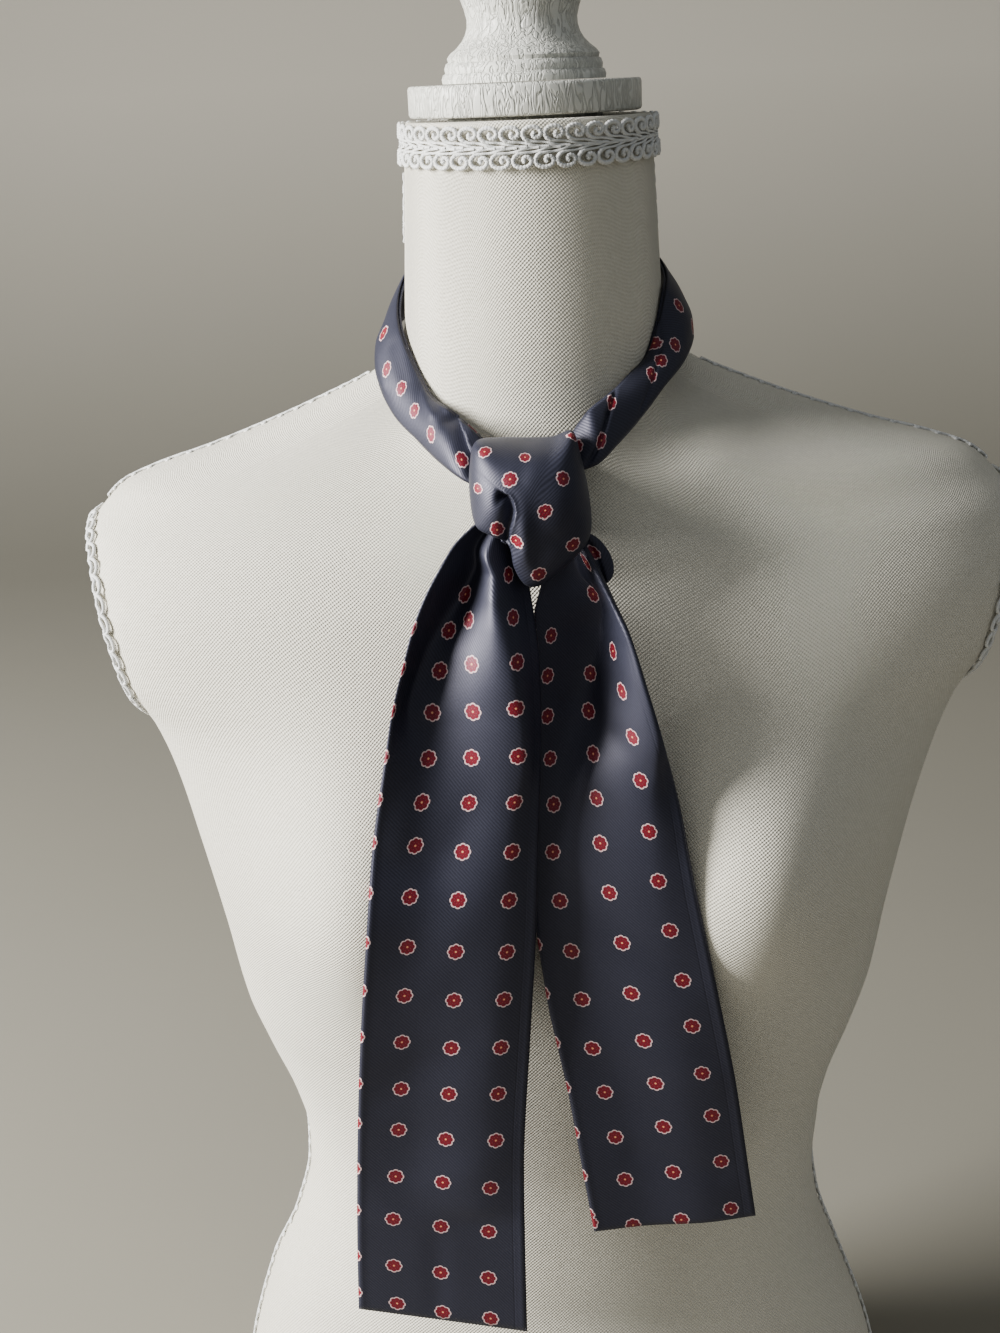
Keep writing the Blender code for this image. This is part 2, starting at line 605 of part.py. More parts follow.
def wrap_point(share, out, inset):
    """Point of the wrap's skin: share goes round, out goes from its middle to its edge."""
    x, z, edge_y = knot_outline(share)
    dx, dz = x - KNOT_CENTRE[0], z - KNOT_CENTRE[1]
    reach = math.hypot(dx, dz)
    shrink = (reach - inset) / reach
    px = KNOT_CENTRE[0] + dx * out * shrink
    pz = KNOT_CENTRE[1] + dz * out * shrink
    dome = 1.0 - (1.0 - out ** KNOT_FULLNESS) ** (1 / KNOT_FULLNESS)
    front_y = KNOT_FRONT_Y + inset
    py = front_y + (edge_y - front_y) * dome
    for mid_x, mid_z, wide, high, depth in KNOT_RELIEF:
        away = ((px - mid_x) / wide) ** 2 + ((pz - mid_z) / high) ** 2
        py += depth * math.exp(-away) * (1.0 - dome)
    return (px, py, pz)


def make_wrap(silk, around=36):
    bm = bmesh.new()
    skins = []
    for inset in (0.0, WRAP_WALL):
        middle = bm.verts.new(wrap_point(0.0, 0.0, inset))
        loops = []
        for out in KNOT_RINGS:
            loops.append([bm.verts.new(wrap_point(k / around, out, inset)) for k in range(around)])
        for k in range(around):
            bm.faces.new((middle, loops[0][k], loops[0][(k + 1) % around]))
        for lower, upper in zip(loops, loops[1:]):
            for k in range(around):
                j = (k + 1) % around
                bm.faces.new((lower[k], lower[j], upper[j], upper[k]))
        skins.append(loops[-1])
    for k in range(around):
        j = (k + 1) % around
        bm.faces.new((skins[0][k], skins[0][j], skins[1][j], skins[1][k]))
    return add_object("knot_wrap", bm, silk)


def make_core(silk, count=16):
    rings = []
    for height, half, front in KNOT_CORE:
        back = form_front(KNOT_CORE_X, height) - 2 * SEAM_GAP
        ring = []
        for k in range(count):
            turn = 2 * math.pi * (k + 0.5) / count
            across, ahead = math.sin(turn), math.cos(turn)
            square = abs(across) ** KNOT_CORE_SQUARE + abs(ahead) ** KNOT_CORE_SQUARE
            reach = square ** (-1 / KNOT_CORE_SQUARE)
            x = KNOT_CORE_X + half * across * reach
            y = 0.5 * (front + back) - 0.5 * (back - front) * ahead * reach
            ring.append((x, y, height))
        rings.append(ring)
    return loft("knot_core", rings, silk)


def make_tuck(silk):
    rings = []
    for height, x, half, y in TUCK:
        ring = []
        for k in range(TUCK_POINTS):
            turn = 2 * math.pi * k / TUCK_POINTS
            ring.append((x + half * math.cos(turn), y + TUCK_HALF_WALL * math.sin(turn), height))
        rings.append(ring)
    return loft("knot_tuck", rings, silk)


def build():
    clear_scene()
    canvas = make_material("ivory_canvas", CANVAS_COLOUR, 0.90)
    wood = make_material("painted_wood", WOOD_COLOUR, 0.45)
    braid = make_material("white_braid", BRAID_COLOUR, 0.60)
    silk = make_material("slate_silk", SILK_COLOUR, 0.40)
    make_form(canvas)
    make_base(wood)
    make_cap_and_finial(wood)
    make_neck_braid(braid)
    for name, side in (("left", -1.0), ("right", 1.0)):
        make_arm_braid("arm_braid_" + name, side, braid)
        make_seam_braid("shoulder_braid_" + name, side, SHOULDER_BRAID, braid)
        make_seam_braid("neck_side_braid_" + name, side, NECK_SIDE_BRAID, braid)
        make_seam_braid("side_braid_" + name, side, SIDE_BRAID, braid)
    make_tail("tail_left", LEFT_TAIL, silk)
    make_tail("tail_right", RIGHT_TAIL, silk)
    make_band("neck_band_left", LEFT_BAND, LEFT_LEAVE, silk, 16)
    make_band("neck_band_right", RIGHT_BAND, RIGHT_LEAVE, silk, 16)
    make_band("neck_band_back", BACK_BAND, BACK_LEAVE, silk, 12)
    make_wrap(silk)
    make_core(silk)
    make_tuck(silk)


build()
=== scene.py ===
"""Skinny silk scarf, tied in one knot round the neck of a limbless dress form.

Metres, +Z up, the front faces -Y. Each section is a piece or a group of like pieces, in
the order in which the object is put together. Tables are typed in millimetres.
"""

import functools
import math

import bmesh
import bpy
from mathutils import Matrix, Vector


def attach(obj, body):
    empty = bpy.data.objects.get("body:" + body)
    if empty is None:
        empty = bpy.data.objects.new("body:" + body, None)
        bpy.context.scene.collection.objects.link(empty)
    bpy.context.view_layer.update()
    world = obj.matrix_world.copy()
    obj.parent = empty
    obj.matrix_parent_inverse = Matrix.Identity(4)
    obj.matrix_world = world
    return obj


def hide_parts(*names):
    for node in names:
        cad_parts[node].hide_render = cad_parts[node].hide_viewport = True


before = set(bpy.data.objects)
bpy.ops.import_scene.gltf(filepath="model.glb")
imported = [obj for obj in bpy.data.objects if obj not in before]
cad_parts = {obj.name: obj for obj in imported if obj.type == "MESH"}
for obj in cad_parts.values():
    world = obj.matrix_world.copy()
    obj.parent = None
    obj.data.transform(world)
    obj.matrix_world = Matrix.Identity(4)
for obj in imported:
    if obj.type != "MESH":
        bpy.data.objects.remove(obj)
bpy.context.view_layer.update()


# Camera. It stands before the form, a little above the knot and a little to its left, and
# looks down and slightly rolled, as the photograph was taken by hand.
CAMERA_PLACE = (-0.021, -0.800, 0.715)
CAMERA_DOWN = math.radians(18.0)
CAMERA_ROLL = math.radians(2.5)
FOCAL_PIXELS = 1800.0
IMAGE_HEIGHT = 1333.0
SENSOR = 36.0
CLIP_START = 0.02


def add_object(name, data):
    thing = bpy.data.objects.new(name, data)
    bpy.context.scene.collection.objects.link(thing)
    return thing


camera_data = bpy.data.cameras.new("camera")
camera_data.sensor_width = SENSOR
camera_data.lens = FOCAL_PIXELS / IMAGE_HEIGHT * SENSOR
camera_data.clip_start = CLIP_START
camera = add_object("camera", camera_data)
camera.matrix_world = (Matrix.Translation(CAMERA_PLACE)
                       @ Matrix.Rotation(math.pi / 2 - CAMERA_DOWN, 4, "X")
                       @ Matrix.Rotation(-CAMERA_ROLL, 4, "Z"))
bpy.context.scene.camera = camera


# Table and wall. One sweep of painted board: the form stands on its flat part, and it
# curves up a good way behind. The wall is pale, and the flat part is darker as painted
# shade. It isn't part of the object.
SWEEP_HALF = 9.0
SWEEP_BACK = 3.2
SWEEP_BEND = 1.2
WALL_COLOUR = (0.57, 0.54, 0.475, 1.0)
# The floor's colour is darker than the wall's: painted shade on the table.
FLOOR_PAINTED_SHADE_COLOUR = (0.27, 0.258, 0.222, 1.0)
PAINTED_SHADE_FADES_BY = 0.75
PAINT_CLOUDS = 0.08
SEWN_WITHIN = 2e-6


class Wire:
    """One socket of a material's nodes; sums on it add Math nodes."""

    def __init__(self, tree, socket=None):
        self.tree = tree
        self.socket = socket

    def add(self, kind, settings=None, sockets=None, out=0):
        """A node of a kind: first its settings, then the values or links of its sockets."""
        node = self.tree.nodes.new(kind)
        for key, value in (settings or {}).items():
            setattr(node, key, value)
        for key, value in (sockets or {}).items():
            if isinstance(value, Wire):
                self.tree.links.new(value.socket, node.inputs[key])
            else:
                node.inputs[key].default_value = value
        return Wire(self.tree, node.outputs[out])

    def math(self, operation, *values):
        return self.add("ShaderNodeMath", {"operation": operation}, dict(enumerate(values)))

    def __add__(self, other):
        return self.math("ADD", self, other)

    def __sub__(self, other):
        return self.math("SUBTRACT", self, other)

    def __mul__(self, other):
        return self.math("MULTIPLY", self, other)

    def __truediv__(self, other):
        return self.math("DIVIDE", self, other)

    def __lt__(self, other):
        return self.math("LESS_THAN", self, other)

    def here(self):
        """The place on the object, in metres."""
        return self.add("ShaderNodeTexCoord", out=3)

    def part(self, axis):
        """One coordinate of this place."""
        return self.add("ShaderNodeSeparateXYZ", sockets={"Vector": self}, out=axis)

    def stretch(self, *scale):
        return self.add("ShaderNodeMapping", sockets={"Vector": self, "Scale": scale})

    def noise(self, scale, detail, **sockets):
        """Noise read at this place."""
        return self.add("ShaderNodeTexNoise", sockets={
            "Vector": self, "Scale": scale, "Detail": detail, **sockets})

    def fade(self, start, end):
        """Number that runs from 0 to 1 as this one runs from start to end."""
        return self.add("ShaderNodeMapRange", {"clamp": True}, {
            "Value": self, "From Min": start, "From Max": end, "To Min": 0.0, "To Max": 1.0})

    def blend(self, low, high):
        """Colour that runs from low to high as this number runs from 0 to 1."""
        return self.add("ShaderNodeMix", {"data_type": "RGBA"}, {0: self, 6: low, 7: high}, 2)

    def bump(self, strength, distance):
        """The normals of a surface that stands this high."""
        return self.add("ShaderNodeBump", sockets={
            "Strength": strength, "Distance": distance, "Height": self})


def new_material(name, constants):
    """A Principled material, its constant sockets set, and a wire to build the rest on."""
    material = bpy.data.materials.new(name)
    material.use_nodes = True
    shader = material.node_tree.nodes["Principled BSDF"]
    for key, value in constants.items():
        shader.inputs[key].default_value = value
    return material, Wire(material.node_tree), shader


def drive(shader, **wires):
    """Link wires to the sockets of a Principled shader."""
    for key, wire in wires.items():
        wire.tree.links.new(wire.socket, shader.inputs[key.replace("_", " ").title()])


def fold_surface(name, columns, rows, place, material, chart=None, prints=None, shut=True):
    """A grid whose squares are carried to place(u, v), with u and v from 0 to 1.

    chart gives the cloth's own coordinates in metres, and prints tells where on the printed
    cloth a square lies. Edges that meet are sewn together, and open ends are shut.
    """
    bm = bmesh.new()
    cloth_layer = bm.loops.layers.uv.new("cloth")
    print_layer = bm.loops.layers.uv.new("print") if prints else None
    bmesh.ops.create_grid(bm, x_segments=columns, y_segments=rows, size=0.5)
    if chart:
        spots = {vert: chart(vert.co.x + 0.5, vert.co.y + 0.5) for vert in bm.verts}
        for face in bm.faces:
            corners = [spots[loop.vert] for loop in face.loops]
            printed = prints(corners) if prints else corners
            for loop, corner, mark in zip(face.loops, corners, printed):
                loop[cloth_layer].uv = corner
                if prints:
                    loop[print_layer].uv = mark
    for vert in bm.verts:
        vert.co = place(vert.co.x + 0.5, vert.co.y + 0.5)
    bmesh.ops.remove_doubles(bm, verts=bm.verts, dist=SEWN_WITHIN)
    ends = [edge for edge in bm.edges if edge.is_boundary]
    if chart and shut and ends:
        bmesh.ops.holes_fill(bm, edges=ends, sides=0)
    return finish_mesh(name, bm, material)


def finish_mesh(name, bm, material):
    """Turn the faces outwards and make the object."""
    bmesh.ops.recalc_face_normals(bm, faces=bm.faces)
    mesh = bpy.data.meshes.new(name)
    bm.to_mesh(mesh)
    bm.free()
    mesh.materials.append(material)
    mesh.shade_smooth()
    return add_object(name, mesh)


def sweep_place(u, v):
    x = (u - 0.5) * 2 * SWEEP_HALF
    run = v * 4 * SWEEP_HALF - 2 * SWEEP_HALF
    bend_start = SWEEP_BACK - SWEEP_BEND
    arc = SWEEP_BEND * math.pi / 2
    if run < bend_start:
        return (x, run, 0.0)
    turn = min((run - bend_start) / SWEEP_BEND, math.pi / 2)
    rest = max(run - bend_start - arc, 0.0)
    return (x, bend_start + SWEEP_BEND * math.sin(turn), SWEEP_BEND * (1 - math.cos(turn)) + rest)


sweep_paint_with_floor_shade, wire, shader = new_material(
    "sweep_paint_with_floor_shade", {"Roughness": 0.85, "Specular IOR Level": 0.2})
place = wire.here()
# Painted shade: the colour runs from the darker floor colour at the bottom to the wall's colour
# some way up the wall.
rise = place.part(2).fade(0.0, PAINTED_SHADE_FADES_BY)
floor_shade_and_clouds = rise + place.noise(2.0, 3.0) * PAINT_CLOUDS
drive(shader, base_color=floor_shade_and_clouds.blend(FLOOR_PAINTED_SHADE_COLOUR, WALL_COLOUR))
sweep = fold_surface("sweep", 2, 240, sweep_place, sweep_paint_with_floor_shade)


# Light. A wide window stands to the left and in front, its light soft; the room gives the
# shade a little light of its own.
WINDOW_PLACE = Vector((-2.10, -0.55, 1.35))
WINDOW_AIM = Vector((0.0, 0.0, 0.45))
WINDOW_SIZE = (0.9, 1.2)
WINDOW_POWER = 150.0
WINDOW_COLOUR = (1.0, 0.985, 0.955)
ROOM_COLOUR = (0.88, 0.92, 0.95, 1.0)
ROOM_STRENGTH = 0.300

window_data = bpy.data.lights.new("window", "AREA")
window_data.shape = "RECTANGLE"
window_data.size, window_data.size_y = WINDOW_SIZE
window_data.energy = WINDOW_POWER
window_data.color = WINDOW_COLOUR
window = add_object("window", window_data)
window.location = WINDOW_PLACE
window.rotation_euler = (WINDOW_AIM - WINDOW_PLACE).to_track_quat("-Z", "Y").to_euler()

room = bpy.data.worlds.new("room")
room.use_nodes = True
room.node_tree.nodes["Background"].inputs["Color"].default_value = ROOM_COLOUR
room.node_tree.nodes["Background"].inputs["Strength"].default_value = ROOM_STRENGTH
bpy.context.scene.world = room
bpy.context.scene.view_settings.look = "AgX - Medium High Contrast"


# Base board. Painted board that closes the form below and carries it. The same sections
# of the form give its outline, a little further in.
BASE_HEIGHT = 0.012
BASE_EDGE = 0.006
BASE_ROUND = 0.002
BASE_SOFTENED = 0.0006
ARM_PLATE_X = 0.2070
ARM_PLATE_TOP = 0.5300
ARM_PLATE_LEAN = 0.235
ARM_PLATE_FOOT = 0.4300
BUST_X = 0.0900
BUST_HEIGHT = 0.3850
BUST_SPREAD_X = 0.0460
BUST_SPREAD_Z = 0.0600
BUST_RISE = 0.0340
BUST_FADE = 0.03
FORM_REACH = 0.30
NECK_BLEND = 8
WOOD_LOW = (0.52, 0.52, 0.48, 1.0)
WOOD_HIGH = (0.76, 0.76, 0.71, 1.0)


def from_mm(rows, *kept):
    """A table in metres from one in millimetres; the kept columns aren't lengths."""
    return [tuple(value if i in kept else round(value / 1000, 8) for i, value in enumerate(row))
            for row in rows]


FORM_SECTIONS = from_mm((
    # height, half width, front, back, ridge, squareness, neck, askew
    (12.3, 172, 102, 112, 0, 2.2, 1, 0),
    (81, 162.5, 97, 102, 0, 2.2, 1, -4.5),
    (140, 144.5, 91, 89, 0, 2.15, 1, -6),
    (170, 132.5, 89, 83, 0, 2.15, 1, -3.5),
    (200, 127.2, 88, 80, 0, 2.15, 1, -0.5),
    (225, 128.2, 89, 81, 0, 2.15, 1, 1),
    (250, 133.5, 93, 83, 0, 2.15, 1, 1),
    (280, 144.5, 98, 86, 0, 2.15, 1, 1),
    (305, 152.2, 100.5, 90, 0, 2.2, 1, 0.8),
    (345, 159, 100.5, 97, 0, 2.25, 1, 1),
    (385, 167.5, 98.5, 105, 0, 2.3, 1, 1.5),
    (420, 176.8, 96, 108.5, 0, 2.35, 1, 2.8),
    (445, 187, 92.5, 109, 0, 2.35, 1, 3.5),
    (470, 206, 88, 107, 1, 2.35, 1, 4),
    (500, 216, 82, 103, 3, 2.3, 30, 4.4),
    (525, 213, 72, 96, 6, 2.2, 69, 4.5),
    (542, 200.5, 61, 87, 9, 2.1, 66.5, 4.5),
    (549, 192.5, 56, 82, 10, 2.1, 65, 4),
    (556.5, 173.5, 50, 76, 11, 2.05, 63.5, 2.8),
    (563, 151, 44, 70, 11.5, 2.05, 62, 2),
    (573.5, 120.5, 35, 60, 12, 2, 59.8, 1.2),
    (585, 91.5, 24, 49, 12, 2, 58, 0.8),
    (595, 69, 15, 40, 12, 2, 57.2, 0.6),
    (606, 54, 9, 34, 11.5, 2, 56.8, 0.6),
    (620, 40, 6, 28, 10, 2, 56.3, 0.6),
    (672, 30, 6, 20, 8, 2, 53.8, 0.8),
    (701, 30, 6, 20, 8, 2, 52.5, 1),
), 5)


def read_table(rows, at):
    """Columns of a table at a station, on smooth curves that never overshoot the rows."""
    turned = -1.0 if rows[-1][0] < rows[0][0] else 1.0
    stations = [row[0] * turned for row in rows]
    here = min(max(at * turned, stations[0]), stations[-1])
    right = next(i for i in range(1, len(rows)) if here <= stations[i] + 1e-12)
    span = stations[right] - stations[right - 1]
    t = (here - stations[right - 1]) / span
    h1 = t * (1 - t) ** 2
    h2 = t * t * (3 - 2 * t)
    h3 = t * t * (t - 1)
    values = []
    for column in range(1, len(rows[0])):
        rises = [(rows[i + 1][column] - rows[i][column]) / (stations[i + 1] - stations[i])
                 for i in range(max(right - 2, 0), min(right + 1, len(rows) - 1))]
        middle = 1 if right > 1 else 0
        before = rises[middle - 1] if middle else rises[0]
        after = rises[middle + 1] if middle + 1 < len(rises) else rises[-1]
        here_rise = rises[middle]
        enter = 2 * before * here_rise / (before + here_rise) if before * here_rise > 0 else 0.0
        leave = 2 * after * here_rise / (after + here_rise) if after * here_rise > 0 else 0.0
        a, b = rows[right - 1][column], rows[right][column]
        values.append(a + (b - a) * h2 + span * (enter * h1 + leave * h3))
    return values


def arm_plate_x(height):
    return ARM_PLATE_X - (ARM_PLATE_TOP - height) * ARM_PLATE_LEAN


def form_point(height, turn, out=0.0):
    """Point of the cover at a height and an angle from the front, moved out by a distance."""
    width, front, back, ridge, square, neck, askew = read_table(FORM_SECTIONS, height)
    across, ahead = math.sin(turn), -math.cos(turn)
    near, far = 0.0, FORM_REACH
    for _ in range(24):
        reach = 0.5 * (near + far)
        x, y = across * reach, ahead * reach
        depth = (front + ridge) if y < ridge else (back - ridge)
        torso = ((abs(x) / width) ** square + (abs(y - ridge) / depth) ** square) ** (1 / square)
        blended = max(torso, 1e-6) ** -NECK_BLEND + (reach / neck) ** -NECK_BLEND
        inside = blended ** (-1 / NECK_BLEND) < 1.0
        near, far = (reach, far) if inside else (near, reach)
    reach += out
    x, y = across * reach, ahead * reach
    if y < 0.0:
        gap_x = (abs(x) - BUST_X) / BUST_SPREAD_X
        gap_z = (height - BUST_HEIGHT) / BUST_SPREAD_Z
        y -= BUST_RISE * math.exp(-gap_x * gap_x - gap_z * gap_z) * min(1.0, -y / BUST_FADE)
    if height > ARM_PLATE_FOOT:
        limit = arm_plate_x(height) + out
        x = min(max(x, -limit), limit)
    return (x + askew, y, height)


def stand_for(piece, slot, *nodes):
    """The piece rides on the one body, in place of CAD nodes; the slot is not used."""
    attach(piece, "root")
    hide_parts(*nodes)


painted_wood, wire, shader = new_material("painted_open_grain_wood", {"Roughness": 0.42})
place = wire.here()
waver = place.noise(60.0, 2.0)
pores = place.stretch(1.0, 1.0, 0.24).noise(330.0, 1.5, Distortion=1.4)
grain = wire.math("ABSOLUTE", pores * 2.0 - 1.0).fade(0.02, 0.20)
drive(shader,
      base_color=(waver * 0.4 + grain * 0.6).blend(WOOD_LOW, WOOD_HIGH),
      roughness=grain * 0.10 + 0.34,
      normal=(grain + waver * 0.4).bump(0.8, 0.0005))


def base_place(u, v):
    # Height and inset of the board's underside, rim and top; no inset is the middle.
    height, inset = (
        (0.0, None), (0.0, BASE_EDGE), (BASE_ROUND, BASE_EDGE - BASE_ROUND),
        (BASE_HEIGHT - BASE_ROUND, BASE_EDGE - BASE_ROUND), (BASE_HEIGHT, BASE_EDGE),
        (BASE_HEIGHT, None))[round(v * 5)]
    if inset is None:
        return (0.0, 0.0, height)
    x, y, _ = form_point(FORM_SECTIONS[0][0], 2 * math.pi * u, -inset)
    return (x, y, height)


base = fold_surface("base_board_painted", 96, 5, base_place, painted_wood)
base.modifiers.new("softened_rim", "BEVEL").limit_method = "ANGLE"
base.modifiers["softened_rim"].width = BASE_SOFTENED
stand_for(base, "painted_wood", "base_board")


# Cover. Ivory linen canvas, cut as a front and a back, drawn tight over the padded form
# and sewn down both sides and along the shoulders.
COVER_ROWS = 156
COVER_COLUMNS = 132
COVER_RIM = 0.6985
# Shares of the rows and their heights: the rows stand closer together over the shoulders.
COVER_STEPS = ((0.0, FORM_SECTIONS[0][0]), (0.55, 0.500), (0.85, 0.620), (0.96, COVER_RIM))
RIM_IN = 0.0022
RIM_UP = 0.0016
DIP_IN = 0.0100
DIP_DOWN = 0.0030
THREAD_PITCH = 0.0017
THREAD_WANDER = 1.1
CANVAS_PALE = (0.88, 0.85, 0.76, 1.0)
CANVAS_DARK = (0.46, 0.43, 0.35, 1.0)


def cover_place(u, v):
    turn = 2 * math.pi * u
    for (v1, z1), (v2, z2) in zip(COVER_STEPS, COVER_STEPS[1:]):
        if v < v2:
            return form_point(z1 + (z2 - z1) * (v - v1) / (v2 - v1), turn)
    # The canvas turns in over the neck's rim and dips under the cap.
    tucked = 2 * (v - v2) / (1.0 - v2)
    turn_in = 0.5 * math.pi * min(1.0, tucked)
    dip = max(0.0, tucked - 1.0)
    x, y, _ = form_point(COVER_RIM, turn, -RIM_IN * (1.0 - math.cos(turn_in)) - DIP_IN * dip)
    return (x, y, COVER_RIM + RIM_UP * math.sin(turn_in) - DIP_DOWN * dip)


def running(points):
    """Lengths from the start of a line of points to each of them."""
    runs = [0.0]
    for a, b in zip(points, points[1:]):
        runs.append(runs[-1] + math.dist(a, b))
    return runs


cover_grid = [[cover_place(i / COVER_COLUMNS, j / COVER_ROWS) for j in range(COVER_ROWS + 1)]
              for i in range(COVER_COLUMNS + 1)]
cover_up = [running(column) for column in cover_grid]
cover_round = [running(ring) for ring in zip(*cover_grid)]


def cover_at(u, v):
    return cover_grid[round(u * COVER_COLUMNS)][round(v * COVER_ROWS)]


def cover_chart(u, v):
    """Metres round the form from its front, either way, and metres up it from its foot."""
    i, j = round(u * COVER_COLUMNS), round(v * COVER_ROWS)
    return (min(cover_round[j][i], cover_round[j][-1] - cover_round[j][i]), cover_up[i][j])


canvas, wire, shader = new_material("ivory_linen_canvas", {
    "Roughness": 0.92, "Specular IOR Level": 0.18, "Sheen Weight": 0.25, "Sheen Roughness": 0.5})
chart = wire.add("ShaderNodeUVMap", {"uv_map": "cloth"})


def threads(run, count):
    """Uneven threads: noise drawn out along their run, counted in threads a metre."""
    return chart.stretch(run, count, 1.0).noise(1.0, 1.5)


warp = threads(1.0 / THREAD_PITCH, 170.0)
weft = threads(150.0, 1.0 / THREAD_PITCH)
fibres = threads(1500.0, 1500.0)
cloud = wire.here().noise(9.0, 3.0)
count = 2 * math.pi / THREAD_PITCH
crossings = (wire.math("COSINE", chart.part(0) * count + warp * THREAD_WANDER)
             * wire.math("COSINE", chart.part(1) * count + weft * THREAD_WANDER))
shade = cloud * 0.25 + warp * 0.14 + weft * 0.16 - crossings * 0.17 - fibres * 0.30 + 0.22
drive(shader,
      base_color=shade.blend(CANVAS_PALE, CANVAS_DARK),
      normal=(crossings * 0.8 + fibres * 0.7 + weft).bump(0.8, 0.00030))

cover = fold_surface("form_cover", COVER_COLUMNS, COVER_ROWS, cover_at, canvas, cover_chart)
stand_for(cover, "ivory_canvas", "form_body")


# Neck cap and finial. Turned wood, painted white over an open grain: a flat cap with a plug
# that sits in the neck, and over it a stepped foot, a cove and a knob, screwed down.
NECK_TOP = 0.7010
CAP_HEIGHT = 0.0130
SEAM_GAP = 0.0003
TURNED_SIDES = 72
SHARP_FROM = math.radians(50)
CAP_PROFILE = from_mm((
    # radius, height above the neck's top
    (0, -3.6), (33, -3.6), (33, 0), (48, 0), (49, 0.4), (49.5, 1.3), (49.5, 11.6), (49.1, 12.6),
    (48.3, 13), (0, 13),
))
FINIAL_PROFILE = from_mm((
    # radius, height above the cap
    (0, 0), (34.5, 0), (34.8, 1.8), (34.2, 3.6), (33.2, 4.2), (33.5, 6), (32.8, 8), (31.8, 8.6),
    (32.2, 10.2), (30.8, 12), (28.2, 14), (25.8, 16.5), (24.2, 19.2), (23.3, 22.2), (23.2, 25.2),
    (24.1, 29), (25.5, 33), (26.8, 36.6), (28, 41.2), (28.9, 47), (29, 53), (28.4, 59),
    (26.9, 64.5), (24.4, 69.5), (20.8, 74), (16.2, 77.5), (10.8, 79.8), (5.4, 81.1), (0, 81.5),
))


def turn_wood(name, profile, height, node):
    """A profile of radius and height, spun round the upright axis."""
    bm = bmesh.new()
    verts = [bm.verts.new((radius, 0.0, height + rise)) for radius, rise in profile]
    for a, b in zip(verts, verts[1:]):
        bm.edges.new((a, b))
    bmesh.ops.spin(bm, geom=bm.verts[:] + bm.edges[:], cent=(0, 0, 0), axis=(0, 0, 1),
                   angle=2 * math.pi, steps=TURNED_SIDES, use_merge=True)
    bmesh.ops.remove_doubles(bm, verts=bm.verts, dist=1e-6)
    piece = finish_mesh(name, bm, painted_wood)
    piece.data.set_sharp_from_angle(angle=SHARP_FROM)
    stand_for(piece, "painted_wood", node)


turn_wood("neck_cap_turned", CAP_PROFILE, NECK_TOP + SEAM_GAP, "neck_cap")
turn_wood("finial_turned", FINIAL_PROFILE, NECK_TOP + CAP_HEIGHT + 2 * SEAM_GAP, "finial")


# Gimp braids. White rayon cord laid in loops and sewn over the cover's edges: a wide one
# with a plaited middle round the neck, and a thin one over each seam and arm rim.
CORD_RADIUS = 0.00062
NECK_CORD_RADIUS = 0.00072
ARM_CORD_RADIUS = 0.00085
GIMP_PITCH = 0.0080
GIMP_LIFT, GIMP_ARCH = 0.0009, 0.0003
LOOP_STEPS = 16
LOOP_OPEN = 0.30

gimp_white, wire, shader = new_material(
    "white_gimp_cord", {"Roughness": 0.55, "Sheen Weight": 0.3})
twist = wire.add("ShaderNodeTexWave", {"bands_direction": "DIAGONAL"}, {
    "Vector": wire.here(), "Scale": 900.0, "Distortion": 1.5, "Detail": 1.0}, out=1)
drive(shader,
      base_color=twist.blend((0.74, 0.75, 0.74, 1.0), (0.93, 0.93, 0.92, 1.0)),
      normal=twist.bump(0.6, 0.0003))


def lay_cords(name, paths, radius, node):
    """Round cords along paths of points, joined in one mesh."""
    curve = bpy.data.curves.new(name, "CURVE")
    curve.dimensions = "3D"
    curve.bevel_depth = radius
    curve.bevel_resolution = 1
    curve.use_fill_caps = True
    for points, closed, *thickness in paths:
        spline = curve.splines.new("POLY")
        spline.points.add(len(points) - 1)
        spline.points.foreach_set("co", [c for p in points for c in (*p, 1.0)])
        if thickness:
            spline.points.foreach_set("radius", thickness[0])
        spline.use_cyclic_u = closed
    holder = add_object(name + "_line", curve)
    mesh = bpy.data.meshes.new_from_object(
        holder.evaluated_get(bpy.context.evaluated_depsgraph_get()))
    bpy.data.objects.remove(holder)
    mesh.materials.clear()
    mesh.materials.append(gimp_white)
    mesh.shade_smooth()
    mesh.name = name
    stand_for(add_object(name, mesh), "white_braid", node)


def looped_line(loops, place):
    """A cord that runs on in loops: place(along, across) with across from -0.5 to 0.5."""
    turns = [2 * math.pi * k / LOOP_STEPS for k in range(loops * LOOP_STEPS + 1)]
    return [place(turn / (2 * math.pi) - LOOP_OPEN * math.sin(turn), -0.5 * math.cos(turn))
            for turn in turns]


def wavy_line(loops, place, swing):
    """The cord that is plaited through the middle of the loops, four points to a loop."""
    return [place(k / 4, swing * math.sin(k * 1.9)) for k in range(4 * loops + 1)]


NECK_GIMP_MIDDLE = 0.6895
NECK_GIMP_DIP = 0.0020
NECK_GIMP_LIFT = 0.0006
NECK_ROUND = 2 * math.pi * 0.0535
NECK_SCROLLS = 39
LOWER_SHIFT = -0.45
STEM_LIFT, STEM_WAVE, STEM_THICKNESS = 0.0010, 0.0003, 0.78
CURL_LIFT, CURL_THICKNESS, CRIMP = 0.0005, 0.52, 0.22
MIDDLE_LIFT, MIDDLE_WAVE, MIDDLE_THICKNESS = 0.0008, 0.0004, 0.9
MIDDLE_POINTS = 400
# One scroll of the wide gimp, along and up from the middle: a smooth stem that comes in
# from the right, then a fuller crimped cord that curls over and in.
SCROLL = from_mm((
    (15, 0.2), (12, 0.3), (9, 0.8), (6.2, 1.5), (3.4, 2), (0.6, 2.1), (-2, 2.7), (-3.6, 4.3),
    (-3.5, 6.2), (-2, 7.4), (0.3, 7.8), (2.5, 7), (3.3, 5.3), (2.4, 3.9), (0.8, 3.8), (0.2, 4.9),
    (0.9, 5.7),
))
SCROLL_CUTS = 5
STEM_POINTS = 5


